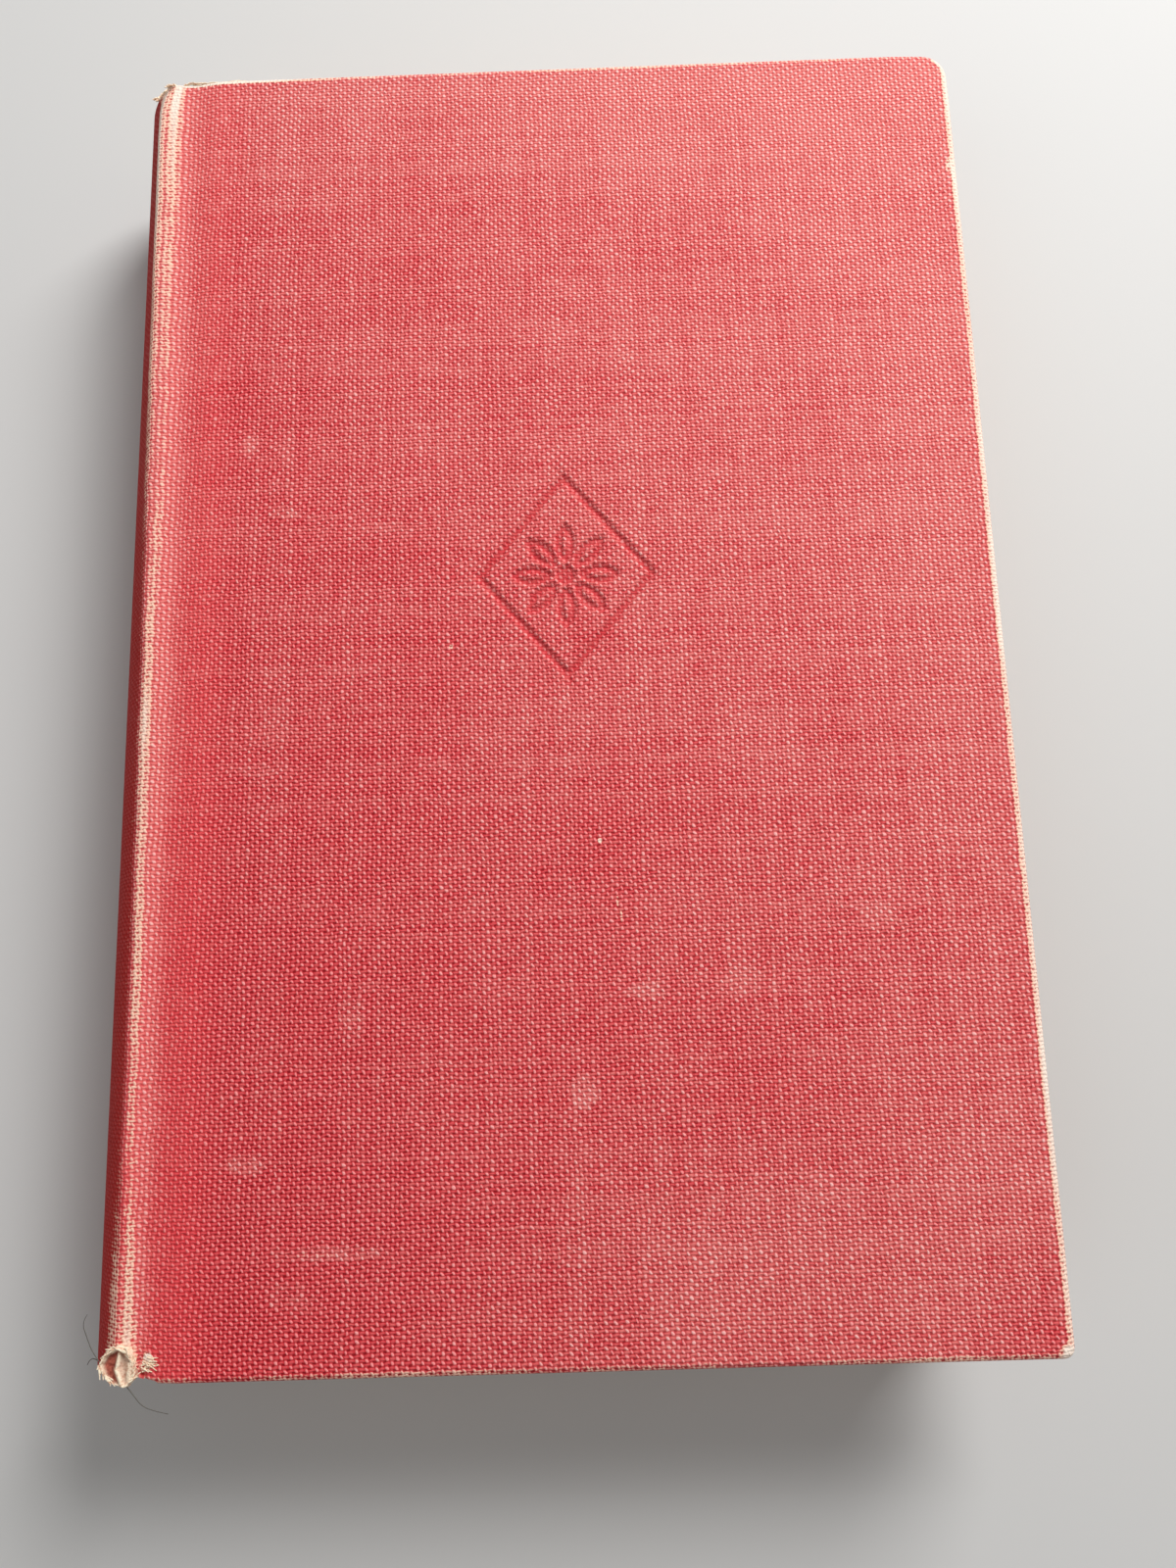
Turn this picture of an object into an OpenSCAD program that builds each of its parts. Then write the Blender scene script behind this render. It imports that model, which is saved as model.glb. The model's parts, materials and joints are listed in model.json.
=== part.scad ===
// A cloth-bound hardback book, lying closed on its back cover.
// X runs from the spine to the fore edge, Y from tail to head, Z up through the thickness.
// Each sheet, board and lining is a flat section in X and Z, drawn along Y.
// Every offset from one layer to the next is a thickness named below.

/* [Leaves] */
// Width of a leaf, from the foot of the shoulder to the fore edge
page_w = 107.2; // [80:0.1:160]
// Height of the leaves, tail to head
page_h = 171; // [110:0.5:260]
// Thickness of all the leaves together
block_t = 17.4; // [10:0.1:40]
// Half angle of the rounded back, seen from its centre
back_angle = 52; // [40:1:60]
// Thickness of an endpaper
paper_t = 0.15; // [0.1:0.01:0.3]
// Number of folded sections sewn into the block
section_count = 13; // [6:1:20]
// Depth of the notch between two folds at the back
fold_notch = 0.35; // [0.1:0.05:0.6]

/* [Sewing] */
// Number of sewing stations along the back
station_count = 5; // [3:1:7]
// Distance from the end of the leaves to the first station
station_inset = 16; // [8:1:30]
// Thickness of the thread, and the depth of the kerf that holds it
thread_t = 0.5; // [0.3:0.1:0.8]

/* [Linings] */
// Thickness of the open-weave mull glued over the back
mull_t = 0.2; // [0.1:0.05:0.4]
// Clearance between the end of the mull and the turned-in cloth
mull_gap = 1; // [0.5:0.5:10]
// How far the mull reaches onto each board
mull_reach = 25; // [12:1:40]
// Thickness of the paper lining over the mull
liner_t = 0.2; // [0.1:0.05:0.4]
// How far the paper lining stops short of the ends of the leaves
liner_inset = 1.5; // [0.5:0.5:10]
// Air left in the hollow between the lining and the turned-in cloth
hollow_clear = 0.15; // [0.1:0.05:1]

/* [Case] */
// Thickness of a cover board
board_t = 2.2; // [1.5:0.1:3.5]
// How far the boards stand out beyond the leaves
square_w = 3; // [1.5:0.1:5]
// Thickness of the covering cloth
cloth_t = 0.4; // [0.25:0.05:0.6]
// Width of the cloth turned in over the boards
turn_in = 15; // [10:0.5:20]
// Width of the slit where two turn-ins meet at a mitred corner
mitre_slit = 0.3; // [0.1:0.1:1]
// Thickness of the card in the spine
inlay_t = 0.5; // [0.3:0.1:1]
// Angle left bare between the edge of the spine card and the ridge
inlay_margin = 4; // [2:1:10]
// Rounding of the covered board's edges
edge_round = 0.8; // [0.4:0.1:1.4]
// Rounding of a sound corner, seen from above
corner_round = 1.3; // [0.5:0.1:4]
// Rounding of the bumped corner at the head of the front cover
bumped_round = 3.5; // [0.5:0.1:6]
// Rounding of the worn ridge along the shoulder
ridge_round = 1; // [0.8:0.1:2.5]

/* [Joints] */
// Width of the groove pressed along each joint
groove_w = 5; // [3:0.1:6]
// Depth of that groove
groove_depth = 0.45; // [0.3:0.05:1]
// Distance from the foot of the shoulder to the middle of the groove
groove_offset = 0.25; // [0:0.05:1]
// Distance from the middle of the groove to the back edge of the board
board_offset = 1.7; // [1.2:0.1:3]
// Slit in the cloth on the hinge line, half on each side
hinge_slit = 0.3; // [0.2:0.05:0.6]

/* [Blind stamp] */
// Width of the stamped lozenge on the front cover
lozenge_w = 24; // [10:1:40]
// Height of the lozenge
lozenge_h = 29; // [10:1:50]
// Width of its border line
border_w = 0.8; // [0.4:0.1:2]
// Height of the lozenge's middle above the middle of the cover
stamp_rise = 10.4; // [-40:0.1:40]
// Distance of the lozenge's middle from the middle of the board, towards the spine
stamp_shift = 3.2; // [-20:0.1:20]
// Depth of the impression
stamp_depth = 0.2; // [0.1:0.05:0.25]
// Number of petals in the rosette
petal_count = 8; // [5:1:12]
// Length of a petal
petal_len = 5.6; // [3:0.1:10]
// Width of a petal
petal_w = 2.6; // [1:0.1:4]
// Radius of the rosette's round middle
eye_r = 1.3; // [0.5:0.1:3]

/* [Hidden] */
$fn = 96;

// Distance that a cut runs past what it cuts, and a size larger than the book
past = 1;
far = 600;

// Layers from the outside in: cloth, board, turned-in cloth, then the paper pasted over them
cover_t = cloth_t + board_t + cloth_t;
side_t = cover_t + paper_t + paper_t;
total_t = block_t + 2 * side_t;
mid_z = total_t / 2;
cover_h = page_h + 2 * square_w;

// The rounded back: arcs about one centre, from the cloth in to the leaves
spine_r = mid_z / sin(back_angle);
turned_r = spine_r - cloth_t - inlay_t - cloth_t;
back_r = turned_r - hollow_clear - liner_t - mull_t;
shoulder_z = back_r * sin(back_angle);
shoulder_rise = shoulder_z - block_t / 2;
back_sag = back_r * (1 - cos(back_angle));

// Places along X, measured from the centre of the spine's arcs
tip_from_spine = -back_r * cos(back_angle);
foot_from_spine = tip_from_spine + shoulder_rise;
fore_from_spine = foot_from_spine + page_w + square_w;
total_w = spine_r + fore_from_spine;

// The same places in the book's own frame, with the middle of its width at zero
crown_x = -total_w / 2;
spine_x = crown_x + spine_r;
tip_x = spine_x + tip_from_spine;
foot_x = spine_x + foot_from_spine;
fore_x = total_w / 2;
leaf_fore_x = fore_x - square_w;
flyleaf_lip = [tip_x + paper_t * cos(45), mid_z + shoulder_z + paper_t * sin(45)];

// The joint: a round groove, about whose middle the cover turns
hinge_x = foot_x + groove_offset;
groove_r = (pow(groove_w / 2, 2) + pow(groove_depth, 2)) / (2 * groove_depth);
groove_z = total_t - groove_depth + groove_r;
cover_x = hinge_x + hinge_slit / 2;
board_x = hinge_x + board_offset;
board_face_z = total_t - cloth_t - board_t;

// The ridge's rounding touches the outer arc and the flat of the cover
ridge_z = mid_z - ridge_round;
ridge_x = spine_x - sqrt(pow(spine_r - ridge_round, 2) - pow(ridge_z, 2));
ridge_angle = atan2(ridge_z, spine_x - ridge_x);

// The fore edge is hollowed as far as the back is rounded
fore_r = (pow(block_t / 2, 2) + pow(back_sag, 2)) / (2 * back_sag);

mull_h = cover_h - 2 * (turn_in + mull_gap);
window_h = cover_h - 2 * turn_in;
inlay_angle = back_angle - inlay_margin;
station_pitch = (page_h - 2 * station_inset) / (station_count - 1);
stamp_x = (board_x + fore_x) / 2 - stamp_shift;

// Height of the groove's floor at x, for a layer this far below the outer face
function groove_floor(x, inset) =
    groove_z - sqrt(pow(groove_r + inset, 2) - pow(x - hinge_x, 2));

// A point on an arc about the spine's centre, at an angle above the middle
function on_arc(radius, angle) =
    [spine_x - radius * cos(angle), mid_z + radius * sin(angle)];

// Draws a section in X and Z along Y, centred on the middle of the height
module along_y(length) {
    translate([0, length / 2, 0])
        rotate([90, 0, 0])
            linear_extrude(length)
                children();
}

// Turns what is made for the front cover over, for the back cover
module at_back() {
    translate([0, 0, total_t])
        mirror([0, 0, 1])
            children();
}

// Draws a section and its mirror image in the middle plane
module both_sides() {
    children();
    translate([0, 2 * mid_z])
        mirror([0, 1])
            children();
}

// Rectangle with a radius of its own at each corner, counted from the top right
module soft_rect(left, right, low, high, radii) {
    difference() {
        translate([left, low])
            square([right - left, high - low]);
        for (k = [0:3])
            if (radii[k] > 0)
                translate([k == 0 || k == 3 ? right - radii[k] : left + radii[k],
                           k < 2 ? high - radii[k] : low + radii[k]])
                    rotate(90 * k)
                        difference() {
                            square(radii[k] + past);
                            circle(radii[k]);
                        }
    }
}

module spine_disc(radius) {
    translate([spine_x, mid_z])
        circle(radius);
}

// Slice of the plane from the spine's centre towards the crown
module wedge(angle) {
    reach = 2 * spine_r;
    polygon([[spine_x, mid_z],
             [spine_x - reach, mid_z - reach * tan(angle)],
             [spine_x - reach, mid_z + reach * tan(angle)]]);
}

// What the ridge's rounding takes away from the corner
module ridge_corner(inset) {
    reach = 2 * ridge_round;
    middle = (ridge_angle + 90) / 2;
    difference() {
        translate([ridge_x, mid_z + ridge_z])
            polygon([[0, 0],
                     [-reach * cos(ridge_angle), reach * sin(ridge_angle)],
                     [-reach * cos(middle), reach * sin(middle)],
                     [0, reach]]);
        translate([ridge_x, mid_z + ridge_z])
            circle(ridge_round - inset);
    }
}

// The closed book's outer form from the crown to the hinge lines, this far inside its face
module spine_form(inset) {
    difference() {
        intersection() {
            union() {
                spine_disc(spine_r - inset);
                translate([spine_x, 0])
                    square([far, total_t]);
            }
            translate([crown_x, inset])
                square([hinge_x - hinge_slit / 2 - crown_x, total_t - 2 * inset]);
        }
        both_sides() {
            translate([hinge_x, groove_z])
                circle(groove_r + inset);
            ridge_corner(inset);
        }
    }
}

// One covered board, this far inside its face, with a corner radius of its own at the head
module cover_form(inset, head_round) {
    edge = edge_round - inset;
    intersection() {
        along_y(cover_h)
            difference() {
                soft_rect(cover_x, fore_x - inset, total_t - cover_t + inset, total_t - inset,
                          [edge, 0, 0, edge]);
                translate([hinge_x, groove_z])
                    circle(groove_r + inset);
            }
        translate([crown_x, 0, 0])
            rotate([90, 0, 90])
                linear_extrude(total_w)
                    soft_rect(inset - cover_h / 2, cover_h / 2 - inset,
                              total_t - cover_t + inset, total_t - inset,
                              [edge, edge, edge, edge]);
        linear_extrude(total_t)
            soft_rect(cover_x, fore_x - inset, inset - cover_h / 2, cover_h / 2 - inset,
                      [head_round - inset, 0, 0, corner_round - inset]);
    }
}

// Section of the joint's cloth and the board, thickened downwards and backwards by a layer
module carried(layer) {
    intersection() {
        translate([cover_x, 0])
            square([far, total_t]);
        union() {
            translate([board_x - layer, board_face_z - layer])
                square([far, far]);
            translate([hinge_x, groove_z])
                circle(groove_r + cloth_t + layer);
        }
    }
}

module bare_board(head_round) {
    intersection() {
        cover_form(cloth_t, head_round);
        translate([board_x, -cover_h / 2, 0])
            cube([total_w, cover_h, total_t]);
    }
}

// Slit between two turn-ins, from the corner of the bare board to the book's corner
module mitre_slit_at(side) {
    translate([fore_x - turn_in, side * window_h / 2, total_t - cover_t - past])
        rotate([0, 0, 45 * side])
            translate([-past, -mitre_slit / 2, 0])
                cube([past + (turn_in - corner_round) * sqrt(2), mitre_slit, cloth_t + past]);
}

// Cloth over the board and the joint, folded in at the head, the tail and the fore edge
module cover_cloth(head_round) {
    difference() {
        intersection() {
            cover_form(0, head_round);
            along_y(cover_h)
                carried(cloth_t);
        }
        bare_board(head_round);
        along_y(window_h)
            difference() {
                translate([crown_x, 0])
                    square([fore_x - turn_in - crown_x, total_t - cloth_t]);
                carried(0);
            }
        mitre_slit_at(1);
        mitre_slit_at(-1);
    }
}

// The board, its turn-ins and the mull, thickened by a layer: what the endpaper is pasted to
module inner_stack(layer) {
    along_y(cover_h)
        carried(layer);
    for (side = [-1, 1])
        translate([0, side * (cover_h - turn_in - layer) / 2, 0])
            along_y(turn_in + layer)
                carried(cloth_t + layer);
    translate([fore_x - turn_in - layer, -cover_h / 2, total_t - cover_t - layer])
        cube([turn_in + layer, cover_h, cover_t]);
    along_y(mull_h + 2 * layer)
        flange_section(layer);
}

module flange_section(layer) {
    intersection() {
        carried(mull_t + layer);
        translate([crown_x, 0])
            square([board_x + mull_reach + layer - crown_x, total_t]);
    }
}

// Width available to the endpaper, square with the leaves
module endpaper_area() {
    translate([cover_x, -page_h / 2, 0])
        cube([leaf_fore_x - cover_x, page_h, total_t]);
}

module pastedown() {
    intersection() {
        endpaper_area();
        difference() {
            inner_stack(paper_t);
            inner_stack(0);
        }
    }
}

module mull_flange() {
    along_y(mull_h)
        difference() {
            flange_section(0);
            carried(0);
        }
}

// Loose endpaper: flat on the leaves, then up the slope of the shoulder
module flyleaf() {
    flat_z = mid_z + block_t / 2;
    along_y(page_h)
        polygon([[tip_x, mid_z + shoulder_z],
                 [foot_x, flat_z],
                 [leaf_fore_x, flat_z],
                 [leaf_fore_x, flat_z + paper_t],
                 [foot_x + paper_t * tan(22.5), flat_z + paper_t],
                 flyleaf_lip]);
}

// Rounded back, flared shoulders and hollow fore edge
module block_section() {
    difference() {
        intersection() {
            union() {
                spine_disc(back_r);
                translate([spine_x, mid_z - shoulder_z])
                    square([far, 2 * shoulder_z]);
            }
            translate([crown_x, mid_z - shoulder_z])
                square([leaf_fore_x - crown_x, 2 * shoulder_z]);
        }
        both_sides()
            polygon([[tip_x, mid_z + shoulder_z],
                     [foot_x, mid_z + block_t / 2],
                     [far, mid_z + block_t / 2],
                     [far, mid_z + shoulder_z + past],
                     [tip_x, mid_z + shoulder_z + past]]);
        translate([leaf_fore_x - back_sag + fore_r, mid_z])
            circle(fore_r);
    }
}

// One notch between two folded sections, fanning with the back
module fold_notch_at(angle) {
    half = back_r * sin(back_angle / section_count) / 3;
    translate([spine_x, mid_z])
        rotate(180 - angle)
            translate([back_r, 0])
                polygon([[past, half * (1 + past / fold_notch)],
                         [-fold_notch, 0],
                         [past, -half * (1 + past / fold_notch)]]);
}

// The threads' rings at the sewing stations, sunk into the folds by the thread's thickness
module thread_rings() {
    for (k = [0 : station_count - 1])
        translate([0, k * station_pitch + station_inset - page_h / 2, 0])
            along_y(thread_t)
                intersection() {
                    difference() {
                        spine_disc(back_r);
                        spine_disc(back_r - thread_t);
                    }
                    wedge(inlay_angle);
                }
}

module text_block() {
    color([0.86, 0.78, 0.62])
        difference() {
            along_y(page_h)
                difference() {
                    block_section();
                    for (k = [1 : section_count - 1])
                        fold_notch_at(back_angle * (2 * k / section_count - 1));
                }
            thread_rings();
        }
}

module sewing_thread() {
    color([0.88, 0.84, 0.74])
        thread_rings();
}

// The mull's edge: from the shoulder's tip, past the flyleaf, up to the joint and along it
module mull_lap() {
    lap_x = (tip_x + hinge_x) / 2;
    along_y(mull_h)
        polygon([on_arc(back_r, back_angle),
                 on_arc(back_r + mull_t, back_angle - 1),
                 on_arc(back_r + mull_t, back_angle),
                 [lap_x, groove_floor(lap_x, cloth_t)],
                 [lap_x + mull_t, groove_floor(lap_x + mull_t, cloth_t + mull_t)],
                 flyleaf_lip]);
    along_y(mull_h)
        intersection() {
            difference() {
                spine_form(cloth_t);
                spine_form(cloth_t + mull_t);
            }
            translate([lap_x, mid_z])
                square([hinge_x - lap_x, mid_z]);
        }
}

module mull() {
    color([0.82, 0.78, 0.68]) {
        along_y(mull_h)
            intersection() {
                difference() {
                    spine_disc(back_r + mull_t);
                    spine_disc(back_r);
                }
                wedge(back_angle);
            }
        mull_lap();
        at_back()
            mull_lap();
    }
}

module spine_liner() {
    color([0.66, 0.53, 0.38])
        along_y(page_h - 2 * liner_inset)
            intersection() {
                difference() {
                    spine_disc(back_r + mull_t + liner_t);
                    spine_disc(back_r + mull_t);
                }
                wedge(inlay_angle);
            }
}

module front_flyleaf() {
    color([0.88, 0.82, 0.68])
        flyleaf();
}

module back_flyleaf() {
    color([0.88, 0.82, 0.68])
        at_back()
            flyleaf();
}

module inlay_section() {
    intersection() {
        difference() {
            spine_disc(spine_r - cloth_t);
            spine_disc(spine_r - cloth_t - inlay_t);
        }
        wedge(inlay_angle);
    }
}

module spine_inlay() {
    color([0.55, 0.47, 0.36])
        along_y(cover_h - 2 * cloth_t)
            inlay_section();
}

// Cloth over the back and both ridges, folded in over the card at the head and the tail
module spine_cloth() {
    color([0.45, 0.14, 0.12])
        difference() {
            union() {
                along_y(cover_h)
                    difference() {
                        spine_form(0);
                        spine_form(cloth_t);
                    }
                for (side = [-1, 1])
                    translate([0, side * (cover_h - turn_in) / 2, 0])
                        along_y(turn_in) {
                            difference() {
                                spine_form(0);
                                spine_form(2 * cloth_t);
                            }
                            intersection() {
                                difference() {
                                    spine_form(0);
                                    spine_disc(turned_r);
                                }
                                wedge(back_angle);
                            }
                        }
            }
            along_y(cover_h - 2 * cloth_t)
                inlay_section();
        }
}

module front_board() {
    color([0.62, 0.52, 0.38])
        bare_board(bumped_round);
}

module back_board() {
    color([0.62, 0.52, 0.38])
        at_back()
            bare_board(corner_round);
}

// Rhombus drawn in by a distance from its sides
module lozenge(inset) {
    half = [lozenge_w / 2, lozenge_h / 2];
    k = 1 - inset * norm(half) / (half.x * half.y);
    polygon([[half.x * k, 0], [0, half.y * k], [-half.x * k, 0], [0, -half.y * k]]);
}

// Pointed petal between two arcs
module petal(length, width) {
    radius = (pow(length, 2) + pow(width, 2)) / (4 * width);
    intersection_for (side = [-1, 1])
        translate([0, side * (radius - width / 2)])
            circle(radius);
}

// A plain lozenge round a rosette of ribbed petals
module stamp_outline() {
    difference() {
        lozenge(0);
        lozenge(border_w);
    }
    for (k = [0 : petal_count - 1])
        rotate(90 + 360 * k / petal_count)
            translate([eye_r + border_w / 2 + petal_len / 2, 0])
                difference() {
                    petal(petal_len, petal_w);
                    petal(petal_len / 2, petal_w / 4);
                }
    circle(eye_r);
}

module front_cloth() {
    color([0.82, 0.40, 0.40])
        difference() {
            cover_cloth(bumped_round);
            translate([stamp_x, stamp_rise, total_t - stamp_depth])
                linear_extrude(past)
                    stamp_outline();
        }
}

module back_cloth() {
    color([0.78, 0.36, 0.36])
        at_back()
            cover_cloth(corner_round);
}

module front_mull_flange() {
    color([0.82, 0.78, 0.68])
        mull_flange();
}

module back_mull_flange() {
    color([0.82, 0.78, 0.68])
        at_back()
            mull_flange();
}

module front_pastedown() {
    color([0.86, 0.80, 0.66])
        pastedown();
}

module back_pastedown() {
    color([0.86, 0.80, 0.66])
        at_back()
            pastedown();
}

text_block();
sewing_thread();
mull();
spine_liner();
front_flyleaf();
back_flyleaf();
spine_inlay();
spine_cloth();
front_board();
front_cloth();
front_mull_flange();
front_pastedown();
back_board();
back_cloth();
back_mull_flange();
back_pastedown();
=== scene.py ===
# %% [markdown]
# A faded, cloth-bound hardback book lies closed on its back cover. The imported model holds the
# boards, linings and leaves at their real size, so this lesson only dresses them: it folds the
# covering cloth round the boards, fans the leaves, lays the endpapers and frays the worn ends.

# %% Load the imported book
import json
import random
from math import atan2, copysign, cos, exp, hypot, pi, radians, sin, sqrt

import bmesh
import bpy
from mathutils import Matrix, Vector
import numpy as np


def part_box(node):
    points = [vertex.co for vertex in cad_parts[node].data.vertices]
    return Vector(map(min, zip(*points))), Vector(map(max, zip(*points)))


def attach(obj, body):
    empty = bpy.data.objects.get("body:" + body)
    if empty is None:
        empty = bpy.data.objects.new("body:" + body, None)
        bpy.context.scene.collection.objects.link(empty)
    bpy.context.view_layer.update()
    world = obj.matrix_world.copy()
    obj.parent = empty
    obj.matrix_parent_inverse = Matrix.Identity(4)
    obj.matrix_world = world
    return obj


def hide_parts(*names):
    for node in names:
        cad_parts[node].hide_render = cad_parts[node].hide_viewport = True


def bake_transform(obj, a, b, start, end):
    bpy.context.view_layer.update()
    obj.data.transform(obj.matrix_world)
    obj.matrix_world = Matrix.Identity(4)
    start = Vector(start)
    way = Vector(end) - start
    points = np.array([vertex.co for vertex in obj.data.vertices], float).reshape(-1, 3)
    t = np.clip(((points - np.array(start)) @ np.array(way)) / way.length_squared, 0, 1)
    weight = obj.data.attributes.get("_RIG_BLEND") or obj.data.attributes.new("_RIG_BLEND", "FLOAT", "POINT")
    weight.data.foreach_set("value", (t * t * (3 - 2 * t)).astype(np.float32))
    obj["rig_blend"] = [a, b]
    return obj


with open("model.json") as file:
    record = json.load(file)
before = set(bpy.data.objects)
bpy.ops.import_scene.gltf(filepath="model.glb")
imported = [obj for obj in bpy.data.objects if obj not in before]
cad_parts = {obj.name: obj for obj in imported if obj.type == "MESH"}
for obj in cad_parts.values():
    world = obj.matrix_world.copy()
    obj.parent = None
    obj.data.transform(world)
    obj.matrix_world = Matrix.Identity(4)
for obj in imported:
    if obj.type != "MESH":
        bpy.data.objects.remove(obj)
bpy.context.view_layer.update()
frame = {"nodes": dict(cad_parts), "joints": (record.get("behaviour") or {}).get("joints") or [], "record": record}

MM = 0.001


# %% [markdown]
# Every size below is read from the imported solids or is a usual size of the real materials. The
# spine is an arc whose ends meet the flat covers at the shoulder's ridge, so the arc's radius
# follows from the book's thickness and the angle that the back was rounded to.

# %% Sizes of the book
joints = {joint["name"]: joint for joint in frame["joints"]}
hinge_x = joints["front_cover_hinge"]["pos_m"][0]
fore_x, half_height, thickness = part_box("front_cloth")[1]
mid_z = thickness / 2
crown_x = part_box("spine_cloth")[0][0]
board_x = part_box("front_board")[0][0]
leaf_half_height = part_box("text_block")[1][1]
leaf_fore_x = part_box("front_flyleaf")[1][0]

CLOTH_T = 0.4 * MM
COVER_T = 3.0 * MM
PAPER_T = 0.15 * MM
BACK_ANGLE = radians(52)
EDGE_ROUND = 0.8 * MM
RIDGE_ROUND = 1.0 * MM
GROOVE_BACK = 2.7 * MM
GROOVE_FRONT = 4.8 * MM
GROOVE_DEPTH = 0.45 * MM
TURN_IN = 15 * MM
CORNER_ROUND = 1.3 * MM
BUMPED_ROUND = 3.5 * MM

spine_r = mid_z / sin(BACK_ANGLE)
spine_x = crown_x + spine_r
ridge_z = mid_z - RIDGE_ROUND
ridge_x = spine_x - sqrt((spine_r - RIDGE_ROUND) ** 2 - ridge_z ** 2)
ridge_angle = atan2(ridge_z, spine_x - ridge_x)
print("spine radius", round(spine_r, 5), "ridge at x", round(ridge_x, 5))


# %% [markdown]
# The camera looks almost straight down, a little from the tail, as the photograph does. Its
# place comes from the four corners of the front cover: their spread fixes the distance, and
# their convergence fixes the tilt. A long-side sensor of 36 mm makes the lens a plain number.

# %% Camera
CAMERA_AT = Vector((5.59, -45.44, 168.99)) * MM
CAMERA_TURN = [radians(a) for a in (10.657, 0.830, -1.720)]
LONG_SIDE_PX = 1600
FOCAL_PX = 1170
SENSOR_MM = 36
NEAREST, FARTHEST = 5 * MM, 10


def add_object(name, data):
    made = bpy.data.objects.new(name, data)
    bpy.context.scene.collection.objects.link(made)
    return made


camera = add_object("camera", bpy.data.cameras.new("camera"))
camera.location = CAMERA_AT
camera.rotation_euler = CAMERA_TURN
camera.data.sensor_width = SENSOR_MM
camera.data.lens = FOCAL_PX / LONG_SIDE_PX * SENSOR_MM
camera.data.clip_start, camera.data.clip_end = NEAREST, FARTHEST
bpy.context.scene.camera = camera
print("lens", round(camera.data.lens, 2))


# %% [markdown]
# Colours are easiest to judge as they look on a screen, but the renderer adds light, so it needs
# linear values. One small function does the change. A shader is a web of nodes, which is hard to
# read in a script. So each output is wrapped as a Value, which is added and multiplied like a
# number, and the patterns below stay readable as formulas.

# %% Helpers for materials
FLOAT, VECTOR, COLOUR = "NodeSocketFloat", "NodeSocketVector", "NodeSocketColor"


def shade(red, green, blue):
    """A colour as seen on a screen, 0 to 255, made linear."""
    def linear(value):
        value /= 255
        return value / 12.92 if value <= 0.04045 else ((value + 0.055) / 1.055) ** 2.4
    return (linear(red), linear(green), linear(blue), 1)


class Value:
    """An output of a shader node that takes part in sums as a number does."""

    def __init__(self, tree, socket):
        self.tree, self.socket = tree, socket

    def __add__(self, other):
        return calc("ADD", self, other)

    def __sub__(self, other):
        return calc("SUBTRACT", self, other)

    def __mul__(self, other):
        return calc("MULTIPLY", self, other)

    def __truediv__(self, other):
        return calc("DIVIDE", self, other)


def feed(socket, value):
    """Connects a shader value to the socket, or sets its number."""
    if isinstance(value, Value):
        value.tree.links.new(value.socket, socket)
    else:
        socket.default_value = value


def node(tree, kind, output, inputs, **settings):
    """Adds a node, feeds its inputs and gives one of its outputs."""
    made = tree.nodes.new("ShaderNode" + kind)
    for name, setting in settings.items():
        setattr(made, name, setting)
    for name, value in inputs.items():
        feed(made.inputs[name], value)
    return Value(tree, made.outputs[output])


def calc(operation, first, *others):
    return node(first.tree, "Math", 0, dict(enumerate((first, *others))), operation=operation)


def remap(value, low, high, to_low=0.0, to_high=1.0):
    """Takes the value from one range to another with a soft step."""
    return node(value.tree, "MapRange", 0, {
        "Value": value, "From Min": low, "From Max": high, "To Min": to_low,
        "To Max": to_high}, interpolation_type="SMOOTHSTEP")


def blend(amount, first, second):
    """Goes from the first colour to the second."""
    return node(amount.tree, "Mix", 2, {0: amount, 6: first, 7: second}, data_type="RGBA")


def noise(place, scale, detail=2.0, roughness=0.5):
    return node(place.tree, "TexNoise", "Fac", {
        "Vector": place, "Scale": scale, "Detail": detail, "Roughness": roughness})


def vector(tree, *parts):
    return node(tree, "CombineXYZ", 0, dict(enumerate(parts)))


def axis_of(place, axis):
    return node(place.tree, "SeparateXYZ", axis, {0: place})


def random_of(value, seed):
    """A random number from 0 to 1 for each whole number, or for each pair of them."""
    return node(value.tree, "TexWhiteNoise", "Value", {"Vector": vector(value.tree, value, seed)},
                noise_dimensions="2D")


def attribute(tree, name):
    return node(tree, "Attribute", "Fac", {}, attribute_name=name)


def new_group(name, inputs, outputs):
    """An empty shader group, and its inputs as values."""
    group = bpy.data.node_groups.new(name, "ShaderNodeTree")
    for labels, way in ((inputs, "INPUT"), (outputs, "OUTPUT")):
        for label, kind in labels.items():
            group.interface.new_socket(label, in_out=way, socket_type=kind)
    source = group.nodes.new("NodeGroupInput")
    return group, [Value(group, source.outputs[label]) for label in inputs]


def end_group(group, **results):
    end = group.nodes.new("NodeGroupOutput")
    for label, value in results.items():
        feed(end.inputs[label], value)
    print(group.name, "nodes", len(group.nodes))
    return group


def use_group(tree, group, **values):
    """Adds the group to a shader and gives its outputs by name."""
    made = tree.nodes.new("ShaderNodeGroup")
    made.node_tree = group
    for label, value in values.items():
        feed(made.inputs[label], value)
    return {output.name: Value(tree, output) for output in made.outputs}


def new_material(name):
    material = bpy.data.materials.new(name)
    material.use_nodes = True
    return material, material.node_tree


def finish_material(material, colour, roughness, relief, depth, strength=1.0, gloss=0.5):
    """Feeds the main shader. The relief goes from 0 to 1 over the depth."""
    tree = material.node_tree
    bent = node(tree, "Bump", 0, {"Strength": strength, "Distance": depth, "Height": relief})
    for name, value in (("Base Color", colour), ("Roughness", roughness),
                        ("Specular IOR Level", gloss), ("Normal", bent)):
        feed(tree.nodes["Principled BSDF"].inputs[name], value)
    return material


print("cream, made linear", [round(part, 3) for part in shade(255, 240, 212)])


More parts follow.
